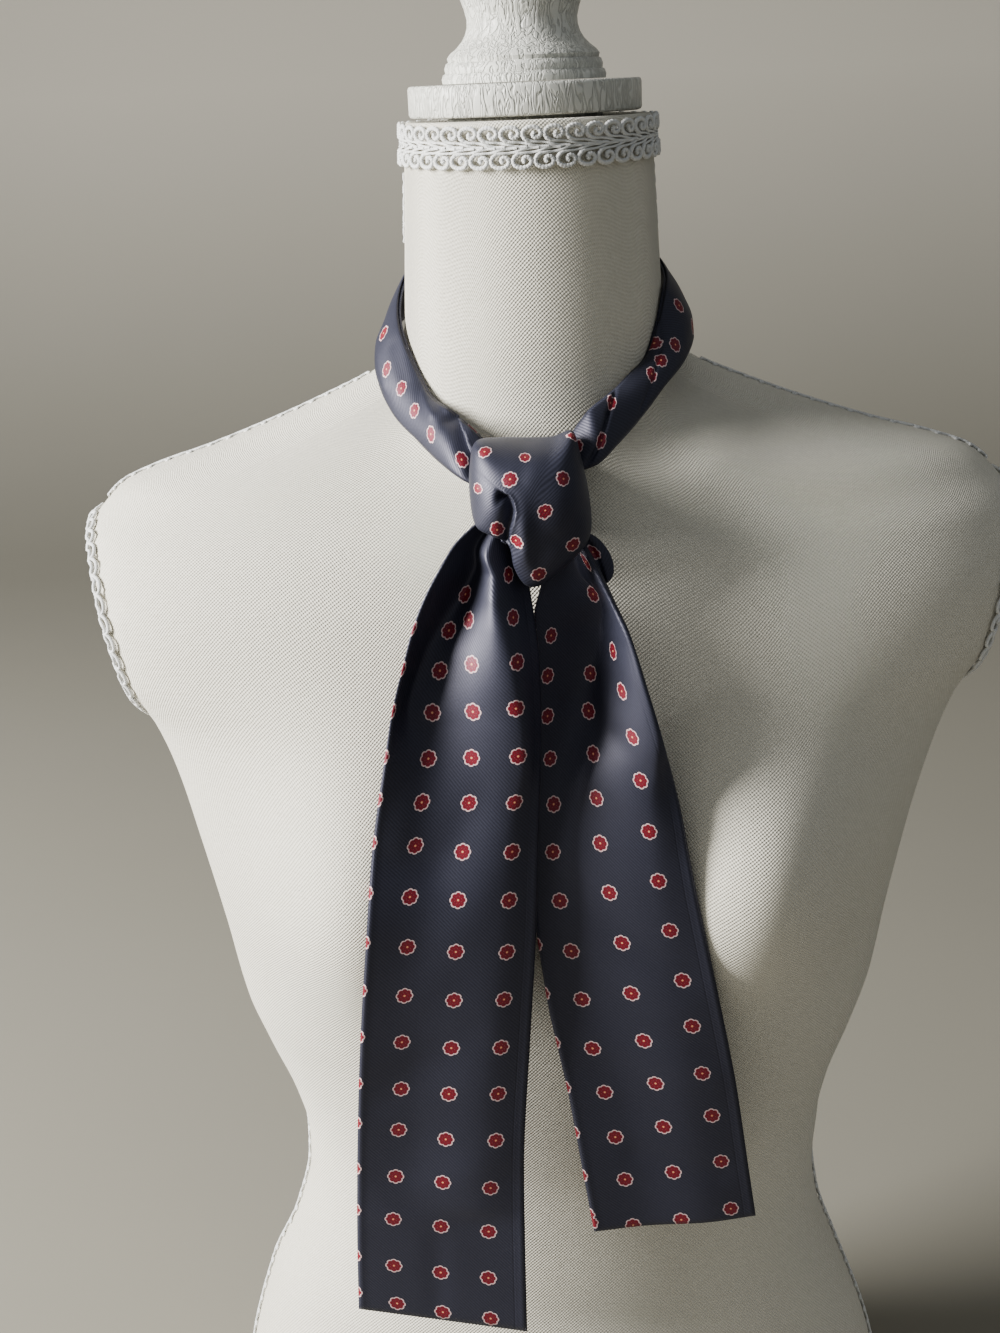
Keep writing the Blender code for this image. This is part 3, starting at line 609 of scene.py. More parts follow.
def neck_ring(along, rise, lift):
    # It is sewn on a little lower in front than at the sides and behind.
    turn = 2 * math.pi * along
    middle = NECK_GIMP_MIDDLE + NECK_GIMP_DIP * min(1.0, 1.0 - math.cos(turn))
    return form_point(middle + rise, turn, NECK_GIMP_LIFT + lift)


def curve_between(four, t):
    """Point on a smooth curve between the middle two of four points."""
    return [0.5 * (2 * b + (c - a) * t + (2 * a - 5 * b + 4 * c - d) * t * t
                   + (3 * b - a - 3 * c + d) * t ** 3) for a, b, c, d in zip(*four)]


last = len(SCROLL) - 1
scroll_line = [curve_between([SCROLL[min(max(i + k, 0), last)] for k in (-1, 0, 1, 2)],
                             j / SCROLL_CUTS)
               for i in range(last) for j in range(SCROLL_CUTS)] + [SCROLL[-1]]
neck_paths = []
for side, shift in ((1.0, 0.0), (-1.0, LOWER_SHIFT)):
    for k in range(NECK_SCROLLS):
        points, thickness = [], []
        for i, (along, up) in enumerate(scroll_line):
            curl = min(max((i - SCROLL_CUTS * STEM_POINTS) / 6, 0.0), 1.0)
            lift = STEM_LIFT + CURL_LIFT * curl + STEM_WAVE * (1.0 - curl) * math.cos(i * 0.5)
            points.append(neck_ring((k + shift) / NECK_SCROLLS + along / NECK_ROUND,
                                    side * up, lift))
            crimp = CRIMP * curl * math.cos(i * 2.1 + k)
            thickness.append(STEM_THICKNESS + CURL_THICKNESS * curl + crimp)
        neck_paths.append((points, False, thickness))
middle_run = [neck_ring(k / MIDDLE_POINTS, MIDDLE_WAVE * math.sin(k * 0.9), MIDDLE_LIFT)
              for k in range(MIDDLE_POINTS)]
neck_paths.append((middle_run, True, [MIDDLE_THICKNESS] * MIDDLE_POINTS))
lay_cords("neck_gimp", neck_paths, NECK_CORD_RADIUS, "neck_braid")

SEAM_GIMP_WIDTH = 0.0052
SEAM_SWING = 0.18


def seam_gimp(name, side, low, high, length, node):
    """Thin gimp over a side seam, from its lower to its upper end."""
    loops = max(2, round(length / GIMP_PITCH))

    def place(along, across):
        height = low + (high - low) * min(max(along / loops, 0.0), 1.0)
        width, _, _, ridge, _, neck, _ = read_table(FORM_SECTIONS, height)
        middle = math.pi / 2 + math.atan2(ridge, max(width, neck))
        spread = across * SEAM_GIMP_WIDTH / max(width, neck)
        lift = GIMP_LIFT + GIMP_ARCH * math.cos(2 * math.pi * across)
        return form_point(height, side * (middle + spread), lift)

    lay_cords(name, [(looped_line(loops, place), False),
                     (wavy_line(loops, place, SEAM_SWING), False)], CORD_RADIUS, node)


ARM_LOOPS = 34
ARM_RIM_Y, ARM_RIM_Z = 0.0060, 0.4910
ARM_RIM_HALF = 0.0430
ARM_GIMP_WIDTH = 0.0072
ARM_GIMP_OUT = 0.0008
ARM_LIFT, ARM_ARCH = 0.0010, 0.0004
ARM_SWING = 0.14
# Cosine and sine of the cover's slope where it falls away from the plate's edge.
RIM_SLOPE = (0.77, 0.64)


def arm_rim(height, way):
    """Y of the arm plate's edge at a height: way is -1 for its front, 1 for its back."""
    limit = arm_plate_x(height) + read_table(FORM_SECTIONS, height)[6] - 1e-5
    clear, flat = (0.0, math.pi / 2) if way < 0 else (math.pi, math.pi / 2)
    for _ in range(16):
        turn = 0.5 * (clear + flat)
        clear, flat = (turn, flat) if form_point(height, turn)[0] < limit else (clear, turn)
    return form_point(height, flat)[1]


def arm_gimp(name, side, node):
    """Thin gimp over the edge of the arm plate: half on the plate, half on the cover."""
    def place(along, across):
        turn = 2 * math.pi * along / ARM_LOOPS
        out_y, out_z = math.cos(turn), math.sin(turn)
        z = ARM_RIM_Z + ARM_RIM_HALF * out_z
        rim = arm_rim(z, 1.0 if out_y > 0 else -1.0)
        y = ARM_RIM_Y + (rim - ARM_RIM_Y) * min(1.0, abs(out_y) * 6)
        off = across * ARM_GIMP_WIDTH + ARM_GIMP_OUT
        x = ARM_LIFT + ARM_ARCH * math.cos(2 * math.pi * across)
        if off > 0.0:
            x, off = (x * RIM_SLOPE[0] - off * RIM_SLOPE[1],
                      off * RIM_SLOPE[0] + x * RIM_SLOPE[1])
        askew = read_table(FORM_SECTIONS, z)[6]
        return (side * (x + arm_plate_x(z)) + askew, y + out_y * off, z + out_z * off)

    lay_cords(name, [(looped_line(ARM_LOOPS, place)[:-1], True),
                     (wavy_line(ARM_LOOPS, place, ARM_SWING)[:-1], True)], ARM_CORD_RADIUS, node)


SEAMS = (
    # name, lower and upper end, length along it
    ("shoulder", 0.5430, 0.5930, 0.136),
    ("neck_side", 0.6500, 0.6785, 0.0285),
    ("side", 0.0200, 0.4380, 0.428),
)
for side_name, side in (("left", -1.0), ("right", 1.0)):
    arm_gimp("arm_gimp_" + side_name, side, "arm_braid_" + side_name)
    for seam, low, high, length in SEAMS:
        seam_gimp(f"{seam}_gimp_{side_name}", side, low, high, length, f"{seam}_braid_{side_name}")


# Scarf, first its tails. Printed silk twill, cut 160 mm wide, folded lengthwise and sewn to
# a flat tube: the ends hang from the knot over the bust, the longer one in front.
SCARF_WIDTH = 0.0740
PRINT_PITCH = 0.0210
PRINT_SOFT = 0.00012
DISC_RADIUS = 0.0025
RING_RADIUS = 0.0036
SCALLOP = 0.0007
BEADS = 8
BEAD_RING = 0.0016
TWILL_PITCH = 0.00115
PRESSED_LINE = 0.0688
PRESSED_REACH = 0.0006
SILK_DARK = (0.012, 0.0135, 0.025, 1.0)
SILK_PALE = (0.034, 0.037, 0.060, 1.0)
TAIL_COLUMNS = 120
TAIL_ROWS = 170
TAIL_FINE = 96
TAIL_STEPS = 200
TUBE_HALF = 0.00042
TUBE_ROUND = 0.0006
ROLL_RISE, ROLL_PLACE, ROLL_REACH = 0.00030, 0.0012, 0.0016
HEM_ROUND, HEM_THIN = 0.0008, 0.08

# Rows of a tail: left z, right z, left x, right x, left y, right y, then where its valley
# and its ridge lie and how high the valley, the ridge and the right edge rise, as shares,
# and the deepest that the fold may be.
LEFT_TAIL = from_mm((
    (548, 537, -26.5, -8.5, -94, -92.5, 0.22, 0.4, 1, -0.6, 0.15, 2.2),
    (539, 530, -37.5, -8, -98.5, -94, 0.3, 0.46, 1, -0.7, 0.15, 5.5),
    (530, 523, -44, -7.8, -103, -95, 0.39, 0.62, 1, -0.7, 0.15, 8.7),
    (520, 515, -50, -7, -106.5, -97.5, 0.36, 0.66, 1, -0.7, 0.15, 12),
    (507.4, 504.3, -55.6, -5.8, -108.5, -103, 0.26, 0.72, 1, -0.7, 0.15, 12),
    (493.2, 491, -60.1, -4.8, -112, -106.5, 0.16, 0.78, 1, -0.7, 0.15, 12),
    (474.9, 474.2, -65.4, -4.8, -115, -109, 0.12, 0.84, 1, -0.7, 0.15, 11),
    (450.6, 450.6, -70.5, -5.8, -118, -111.5, 0.24, 0.88, 0.8, -0.8, 0.15, 7.5),
    (417.3, 419.7, -76.7, -7.9, -120, -115, 0.3, 0.8, 0.5, -0.6, 0.15, 4.5),
    (378.9, 378, -81.4, -10.5, -125.8, -118, 0.3, 0.78, 0.3, -0.5, 0.15, 4),
    (327.9, 326.1, -87.4, -15, -122.5, -119, 0.3, 0.75, 0.2, -0.5, 0.15, 4),
    (267.4, 263, -92.9, -20, -117.5, -118.5, 0.3, 0.72, 0.2, -0.5, 0.15, 3.5),
    (221.8, 214.2, -96, -21.2, -115, -118, 0.3, 0.7, 0.2, -0.5, 0.15, 3),
    (189.2, 176.2, -97.6, -21.8, -113.5, -117.5, 0.32, 0.7, 0.2, -0.5, 0.15, 3),
), 6, 7, 8, 9, 10)
RIGHT_TAIL = from_mm((
    (529.2, 536.8, -0.5, 14.2, -91.6, -89.6, 0.62, 0.97, 1, -0.5, 0.15, 2.2),
    (519, 526.5, -3, 20, -93, -95, 0.66, 0.98, 1, -0.6, 0.15, 5.5),
    (508, 513, -6.2, 26.2, -95, -99.5, 0.84, 0.985, 1, -0.6, -0.2, 8.7),
    (496, 499, -7.5, 32.6, -97, -104.5, 0.7, 0.985, 1, -0.6, -0.5, 12),
    (480, 482, -8.5, 37.5, -99.5, -109, 0.54, 0.985, 1, -0.6, -0.55, 12),
    (460.5, 461.6, -9.5, 42.9, -103, -112, 0.38, 0.97, 0.9, -0.6, -0.4, 11),
    (431, 432, -10.3, 49.8, -106, -114, 0.2, 0.8, 0.6, -0.6, 0.1, 6.5),
    (391.2, 393.1, -11.5, 56.3, -108, -117.5, 0.16, 0.74, 0.4, -0.5, 0.15, 4.5),
    (346.3, 348.8, -7.9, 64.5, -110, -116.5, 0.2, 0.7, 0.3, -0.4, 0.15, 4),
    (292.2, 293.2, 0.9, 74.2, -112, -112, 0.3, 0.7, 0.3, -0.4, 0.15, 3.5),
    (252.7, 253, 6.2, 79.5, -113, -109.5, 0.3, 0.7, 0.3, -0.4, 0.15, 3),
    (224.7, 225.6, 10, 83.1, -113.5, -108.5, 0.3, 0.7, 0.3, -0.4, 0.15, 3),
), 6, 7, 8, 9, 10)

silk, wire, shader = new_material("slate_silk_twill", {
    "Specular IOR Level": 0.82, "Specular Tint": (0.88, 0.86, 1.0, 1.0),
    "Sheen Weight": 0.05, "Sheen Roughness": 0.4})
cloth = wire.add("ShaderNodeUVMap", {"uv_map": "cloth"})
across, along = cloth.part(0), cloth.part(1)
printed = wire.add("ShaderNodeUVMap", {"uv_map": "print"})


def off_centre(coordinate):
    """Distance from the middle of the print's square, in metres, from minus to plus."""
    return (wire.math("FRACT", coordinate / PRINT_PITCH) - 0.5) * PRINT_PITCH


dx, dy = off_centre(printed.part(0)), off_centre(printed.part(1))
radius = wire.math("SQRT", dx * dx + dy * dy)
angle = wire.math("ARCTAN2", dy, dx)
scallop = wire.math("SQRT", wire.math("ABSOLUTE", wire.math("COSINE", angle * 4.0)))
petal_edge = scallop * SCALLOP + (RING_RADIUS - 0.7 * SCALLOP)


def inside(edge):
    """1 within an edge's radius, 0 outside it, with a soft step."""
    return (radius - edge).fade(PRINT_SOFT, -PRINT_SOFT)


def beads(size):
    """1 on a ring of small dots round the middle."""
    step = 2 * math.pi / BEADS
    side = (wire.math("FRACT", (angle + math.pi) / step) - 0.5) * step * radius
    gap = radius - BEAD_RING
    return wire.math("SQRT", side * side + gap * gap) < size


cloth_noise = wire.here().noise(38.0, 2.0)
thread_noise = cloth.noise(900.0, 1.0)
twill = wire.math("SINE", (along - across) * (2 * math.pi / (TWILL_PITCH * 1.414)))
colour = (cloth_noise * 0.35 + twill * 0.36 + thread_noise * 0.5).blend(SILK_DARK, SILK_PALE)
# A flower, from its outline in: pale ring, red petals, the disc's rim, its red, its beads
# and its pale middle.
for mask, ink in ((inside(petal_edge + 0.00036), (0.008, 0.008, 0.020, 1.0)),
                  (inside(petal_edge), (0.66, 0.50, 0.50, 1.0)),
                  (inside(petal_edge - 0.00058), (0.270, 0.005, 0.020, 1.0)),
                  (inside(DISC_RADIUS + 0.00020), (0.030, 0.002, 0.006, 1.0)),
                  (inside(DISC_RADIUS), (0.220, 0.004, 0.014, 1.0)),
                  (beads(0.00040), (0.035, 0.003, 0.008, 1.0)),
                  (beads(0.00022), (0.400, 0.050, 0.060, 1.0)),
                  (radius < 0.00048, (0.70, 0.36, 0.20, 1.0))):
    colour = mask.blend(colour, ink)
pressed = wire.math("ABSOLUTE", across - PRESSED_LINE).fade(PRESSED_REACH, 0.0)
drive(shader,
      base_color=colour,
      roughness=cloth_noise * 0.12 + twill * 0.04 + 0.47,
      normal=(twill * 0.6 + thread_noise - pressed * 2.5).bump(0.25, 0.00012))

# Flowers of each tail: across from its left edge, up from its hem (as minus).
LEFT_PRINTS = from_mm((
    (58, -351), (27, -338), (60, -333), (34, -329), (24, -323), (60, -314.5), (39, -312),
    (24, -307), (59, -295), (41, -292.5), (23, -290.5), (60, -274.5), (40, -273), (21, -272),
    (20, -254.5), (41, -253.5), (61, -253.5), (19, -236.5), (40, -232.5), (61.5, -231.5),
    (18, -214.5), (39, -212), (61, -210.5), (18, -192), (39, -189), (61, -187.5), (18, -169),
    (39.5, -166), (61, -165.5), (18, -146), (39.5, -142.5), (61, -142.5), (18.5, -122),
    (39.5, -120), (61, -120), (18, -101), (39, -97), (61, -97), (17, -76.5), (38, -75),
    (59, -73), (16, -54), (37, -51), (58, -49.5), (16, -28), (36.5, -26), (57.5, -25.5),
    (17, -6.5), (37, -4.5), (58, -4.5),
))
RIGHT_PRINTS = from_mm((
    (58, -308.5), (41, -294), (11, -280), (52, -272), (9, -262.5), (33, -260.5), (56, -256.5),
    (9, -244.5), (31, -244.5), (57, -237.5), (33, -227), (10, -225), (57, -218), (33, -208.5),
    (11, -205), (57, -195.5), (33, -189), (10, -184.5), (58, -173), (35, -167), (12, -162.5),
    (59, -149.5), (37, -143.5), (14, -139.5), (60, -125), (37, -119.5), (15, -116.5),
    (60, -102.5), (38, -96), (15, -92.5), (60, -78.5), (39, -74), (16, -70), (61, -56),
    (39, -51.5), (17, -47), (62, -31.5), (40, -27.5), (18, -25), (63, -6), (40, -2.5), (18, -1),
    (-1, -5),
))
FIRST_COLUMN_TO = 0.025
CUT_COLUMN, CUT_DROP = -0.0018, 0.0040
BACK_COLUMNS = (0.0825, 0.1035, 0.1245)
FLOWER_REACH = 0.42 * PRINT_PITCH


def tail_prints(front):
    """Flowers of a tail: its front ones, a column cut by the left edge, and the back's."""
    centres = list(front)
    for a, b in front:
        if a < FIRST_COLUMN_TO:
            centres += [(CUT_COLUMN, b - CUT_DROP), (2 * SCARF_WIDTH + CUT_COLUMN, b - CUT_DROP)]
            centres += [(a_back, b) for a_back in BACK_COLUMNS]
    return centres


def near_prints(centres, drawn=1.0):
    """Where on the printed cloth a square lies, by the flower that is nearest to it.

    Drawn tells how much smaller a flower shows where the cloth is drawn tight.
    """
    half = 0.5 * PRINT_PITCH

    def prints(corners):
        middle = [sum(c) / len(corners) for c in zip(*corners)]
        a, b = min(centres, key=lambda c: (c[0] - middle[0]) ** 2 + (c[1] - middle[1]) ** 2)
        if math.dist(middle, (a, b)) > FLOWER_REACH:
            return [(0.0, 0.0)] * len(corners)
        return [((c[0] - a) * drawn + half, (c[1] - b) * drawn + half) for c in corners]
    return prints


def soft_creases(creases, x, z):
    """Sum of ridges (plus) and troughs (minus) along short lines in front view."""
    total = 0.0
    for x1, z1, x2, z2, reach, height in creases:
        run_x, run_z = x2 - x1, z2 - z1
        share = ((x - x1) * run_x + (z - z1) * run_z) / (run_x * run_x + run_z * run_z)
        past = max(-share, share - 1.0, 0.0) * math.hypot(run_x, run_z)
        share = min(max(share, 0.0), 1.0)
        gap = math.hypot(x - x1 - run_x * share, z - z1 - run_z * share)
        total += height * math.exp(-(gap / reach) ** 2) * math.exp(-(past / (2 * reach)) ** 2)
    return total


# Creases of each tail in front view: x and z of both ends, reach, height.
LEFT_CREASES = from_mm((
    (-52, 470, -66, 420, 7, 0.7), (-30, 440, -52, 405, 8, -0.6), (-20, 420, -60, 350, 10, 0.6),
    (-40, 330, -85, 300, 9, -0.6), (-30, 270, -80, 245, 11, 0.6), (-60, 225, -62, 190, 6, -0.4),
))
RIGHT_CREASES = from_mm((
    (10, 470, 36, 445, 6, -0.6), (18, 440, 48, 420, 8, 0.7), (5, 390, 50, 350, 10, -0.6),
    (15, 320, 65, 300, 10, 0.6), (30, 262, 66, 250, 7, -0.5),
))


def tube_lift(share, end):
    """Half thickness of the flat tube across its width: thin, with soft rolled edges."""
    edge_gap = (1.0 - abs(2 * share - 1.0)) * 0.5 * SCARF_WIDTH
    roll = ROLL_RISE * math.exp(-((edge_gap - ROLL_PLACE) / ROLL_REACH) ** 2)
    return (TUBE_HALF + roll) * math.sqrt(min(1.0, edge_gap / TUBE_ROUND)) * end


def tube_side(u):
    """Share of the tube's width and its side: out on its front (1), back on its back (-1)."""
    return (2 * u, 1.0) if u <= 0.5 else (2 - 2 * u, -1.0)


def part_way(runs, share):
    """Length at a share of the even steps of a line."""
    spot = share * (len(runs) - 1)
    i = min(int(spot), len(runs) - 2)
    return runs[i] + (runs[i + 1] - runs[i]) * (spot - i)


def hang_tail(name, rows, creases, flowers, node):
    """The tube as one closed skin: front from left to right, then the back."""
    rows = [(i, *row) for i, row in enumerate(rows)]
    last = len(rows) - 1

    @functools.cache
    def section(station):
        """Points evenly apart along the cloth, its fold as deep as the width needs."""
        (left_z, right_z, left_x, right_x, left_y, right_y,
         valley, ridge, valley_rise, ridge_rise, edge_rise, deep) = read_table(rows, station)
        # Plus goes back, minus forward.
        fold = ((0.0, 0.0), (valley, valley_rise), (ridge, ridge_rise), (1.0001, edge_rise))
        shares = [k / TAIL_FINE for k in range(TAIL_FINE + 1)]
        rises = [read_table(fold, t)[0] for t in shares]
        shallow = 0.0
        for _ in range(16):
            depth = 0.5 * (shallow + deep)
            points = [(left_x + (right_x - left_x) * t,
                       left_y + (right_y - left_y) * t + depth * rise,
                       left_z + (right_z - left_z) * t) for t, rise in zip(shares, rises)]
            runs = running([point[:2] for point in points])
            shallow, deep = (depth, deep) if runs[-1] < SCARF_WIDTH else (shallow, depth)
        even, i = [], 0
        for k in range(TAIL_FINE + 1):
            want = runs[-1] * k / TAIL_FINE
            while i < TAIL_FINE - 1 and runs[i + 1] < want:
                i += 1
            t = (want - runs[i]) / (runs[i + 1] - runs[i])
            even.append([a + (b - a) * t for a, b in zip(points[i], points[i + 1])])
        return even

    def point(share, station, lift):
        """Point at a share of the width and a station, moved off the middle surface."""
        even = section(station)
        spot = min(max(share, 0.0), 1.0) * TAIL_FINE
        i = min(int(spot), TAIL_FINE - 1)
        x, y, z = (a + (b - a) * (spot - i) for a, b in zip(even[i], even[i + 1]))
        a, b = even[max(i - 1, 0)], even[min(i + 2, TAIL_FINE)]
        length = math.hypot(b[0] - a[0], b[1] - a[1])
        lift += soft_creases(creases, x, z)
        return (x + (b[1] - a[1]) / length * lift, y - (b[0] - a[0]) / length * lift, z)

    down = running([point(0.5, last * k / TAIL_STEPS, 0.0) for k in range(TAIL_STEPS + 1)])
    length = down[-1]

    def place(u, v):
        share, side = tube_side(u)
        end = math.sqrt(min(1.0, (1.0 - v) * length / HEM_ROUND)) * (1.0 - HEM_THIN) + HEM_THIN
        return point(share, last * v, side * tube_lift(share, end))

    def chart(u, v):
        return (2 * u * SCARF_WIDTH, part_way(down, v) - length)

    piece = fold_surface(name, TAIL_COLUMNS, TAIL_ROWS, place, silk, chart,
                         near_prints(tail_prints(flowers)))
    stand_for(piece, "slate_silk", node)


hang_tail("scarf_tail_left", LEFT_TAIL, LEFT_CREASES, LEFT_PRINTS, "tail_left")
hang_tail("scarf_tail_right", RIGHT_TAIL, RIGHT_CREASES, RIGHT_PRINTS, "tail_right")


# Scarf, its stretch round the neck. The tube is folded lengthwise in three, with a fold
# outside; it lies round the neck's root and runs taut from there to the knot.
OUTER_REST = 0.0700
INNER_REST = 0.0580
BAND_WALL = 0.0044
LAYER_HALF = 0.00024
FOLD_BEND = 0.015
LAYER_ROUND = 0.0003
UPPER_LAYER = 0.34
LOWER_GIVE = 0.86
HOLLOW_TO = 45.0
CREASE_TO = 12.0
NEAR_SHARE = 0.002
LIP_WIDTH, LIP_RISE, LIP_REACH = 0.0009, 0.10, 0.0012
LEFT_LEAVE = (59.6, 64.0)
RIGHT_LEAVE = (50.7, 55.0)
METRES_A_DEGREE = 0.00122
LOOP_COLUMNS = 144
LOOP_ROWS = 430
LOOP_CUTS = 400
NECK_LOOP = from_mm((
    # angle from the front by way of the left, outer z, inner z, belly, drawn in
    (16.5, 559, 574.5, 0.5, 9),
    (19.5, 560, 578.5, 0.8, 4.8),
    (23, 561.8, 582, 1, 1.4),
    (28, 564.3, 584.6, 1.4, 0.2),
    (36, 568.1, 587, 1.8, 0),
    (46, 573.3, 589, 2, 0),
    (57, 578.3, 596.5, 2, 0),
    (68, 585.8, 606, 2, 0),
    (80, 594.5, 615, 1.8, 0),
    (92, 601.5, 623.5, 1.6, 1),
    (108, 608, 634, 1.4, 2.5),
    (124, 615, 644, 1.4, 3),
    (145, 622, 650, 1.4, 2.5),
    (180, 629, 657, 1.4, 2),
    (215, 626.5, 653, 1.4, 3),
    (236, 620.5, 646, 1.4, 3.8),
    (253, 614, 639.5, 1.4, 3),
    (270, 607, 633, 1.6, 1),
    (285, 603.2, 627, 1.8, 0),
    (298, 597.2, 613, 2, 0),
    (309, 591.5, 600.8, 2, 0),
    (320, 583.5, 596.5, 2, 0),
    (330, 576.5, 592.2, 1.8, 0),
    (338, 571, 589.3, 1.4, 0.2),
    (344, 566.2, 586.5, 1, 1.6),
    (347.5, 564.2, 581.5, 0.8, 6),
    (350.5, 563, 576.5, 0.5, 10.5),
), 0)
LOOP_CREASES = from_mm((
    # angle and share of the band's width at both ends, reach, height
    (50, 0.95, 40, 0.72, 2.6, 0.7), (44, 1.05, 33, 0.8, 3, -0.8), (75, 0.8, 60, 0.7, 4, -0.6),
    (88, 0.35, 70, 0.2, 4.5, 0.6), (120, 0.7, 96, 0.45, 5, -0.7), (150, 0.3, 128, 0.6, 5.5, 0.7),
    (190, 0.75, 160, 0.4, 6, -0.7), (228, 0.35, 200, 0.55, 5.5, 0.6),
    (262, 0.7, 240, 0.45, 5, -0.7), (292, 0.4, 272, 0.3, 4, 0.5),
    (295.9, 1, 305.2, 0.7, 0.5, -0.9), (305.2, 0.7, 315.6, 0.4, 0.7, -0.8),
    (315.6, 0.4, 325, 0.14, 1, -0.7), (331.2, 1, 338.5, 0.67, 0.8, -1.8),
    (338.5, 0.67, 344.8, 0.23, 0.8, -2), (344.8, 0.23, 348.4, 0.02, 0.8, -2),
), 0, 1, 2, 3)
# The hollow by the knot ends in a sharp lip: its points, by angle and share of the width.
LOOP_LIP = ((17.0, 0.40), (20.0, 0.56), (23.0, 0.76), (26.3, 0.92), (29.5, 1.02))
LOOP_HOLLOW = (0.0076, 0.0064)
LOOP_PRINTS = from_mm((
    # from the fold (minus under it), from the knot's left
    (7.6, 16.4), (7.6, 37.3), (9.4, 53.7), (12.2, 68.3), (11, 83.3), (-21.3, 13.1), (15, 103),
    (2, 112), (15, 124), (4, 133), (16, 145), (5, 154.5), (17, 166), (6, 176), (18, 187),
    (7, 197), (19, 208), (8, 218), (19.5, 229), (8.5, 239),
))
LOOP_PRINTS_RIGHT = from_mm((
    # from the fold, from the knot's right
    (9.9, 0.9), (7.6, 13.6), (16.9, 26.2), (8.3, 56.3), (8.3, 65.9), (15.8, 71.8), (8.6, 77.6),
    (18, 96), (6, 101), (16, 117), (5, 124), (17, 139), (6, 145),
))


def beside_line(points, x, z):
    """Distance to a line of points, the side it lies on (plus is left of a falling line),
    and how far it lies past the line's ends."""
    best = (1e9, 1.0, 0.0)
    for k in range(len(points) - 1):
        (x1, z1), (x2, z2) = points[k], points[k + 1]
        run_x, run_z = x2 - x1, z2 - z1
        length = math.hypot(run_x, run_z)
        along = ((x - x1) * run_x + (z - z1) * run_z) / length
        side = ((x - x1) * run_z - (z - z1) * run_x) / length
        held = min(max(along, 0.0), length)
        gap = math.hypot(side, along - held)
        past = max(-along if k == 0 else 0.0, along - length if k == len(points) - 2 else 0.0, 0.0)
        if gap < best[0]:
            best = (gap, math.copysign(1.0, side), past)
    return best


def hollow(lip, reach, deep, x, z, scale=(1.0, 1.0)):
    """Depth of a hollow that falls away to the left of its lip."""
    line = [(a * scale[0], b * scale[1]) for a, b in lip]
    gap, side, past = beside_line(line, x * scale[0], z * scale[1])
    fall = math.exp(-(gap / reach) ** 2) * math.exp(-(past / (0.6 * reach)) ** 2)
    if side > 0.0:
        return deep * fall * min(1.0, gap / (LIP_WIDTH + past))
    return -LIP_RISE * deep * math.exp(-(gap / LIP_REACH) ** 2) * fall


def taut_radius(away, rest, leave):
    """Radius of an edge that lies round the neck, then runs straight to the knot."""
    return rest / math.cos(math.radians(max(0.0, leave - away)))


@functools.cache
def loop_frame(angle):
    """The band's section at an angle: its outer edge, its run, its width and its belly."""
    outer_z, inner_z, belly, drawn = read_table(NECK_LOOP, angle)
    away, leave = (angle, LEFT_LEAVE) if angle < 180.0 else (360.0 - angle, RIGHT_LEAVE)
    outer_r = taut_radius(away, OUTER_REST, leave[0]) - drawn
    inner_r = taut_radius(away, INNER_REST, leave[1]) - (drawn if away < 60.0 else 0.0)
    run_r, run_z = inner_r - outer_r, inner_z - outer_z
    return (outer_r, outer_z, run_r, run_z, math.hypot(run_r, run_z), belly)


def loop_path(share, width):
    """Middle of the tube folded in three: its place across, its rise and the cloth's run.

    It goes from the upper free edge to the outer fold, back under it to the inner fold, and
    out again below to the lower free edge.
    """
    corner = 0.5 * (0.4 * 0.5 * BAND_WALL - LAYER_HALF)
    start = corner / width
    layer = min(int(share * 3), 2)
    local = share * 3 - layer
    cloth = width - share * 3 * width
    if (layer < 2 and local > 1.0 - FOLD_BEND) or (layer > 0 and local < FOLD_BEND):
        first = layer if local > 0.5 else layer - 1
        turned = (local - (1.0 if local > 0.5 else 0.0) + FOLD_BEND) / (2 * FOLD_BEND) * math.pi
        out = corner * math.sin(turned)
        place = (start * width - out) if first == 0 else ((1.0 - start) * width + out)
        middle = corner if first == 0 else -corner
        return place, middle + corner * math.cos(turned), cloth
    low = 0.0 if layer == 0 else FOLD_BEND
    high = 1.0 if layer == 2 else 1.0 - FOLD_BEND
    t = (local - low) / (high - low)
    t = start + (t if layer == 1 else 1.0 - t) * (1.0 - 2 * start)
    swell = 0.5 * BAND_WALL * (1.0 - abs(2 * t - 1) ** 3 * 0.6) - LAYER_HALF
    return t * width, (1 - layer) * swell, cloth


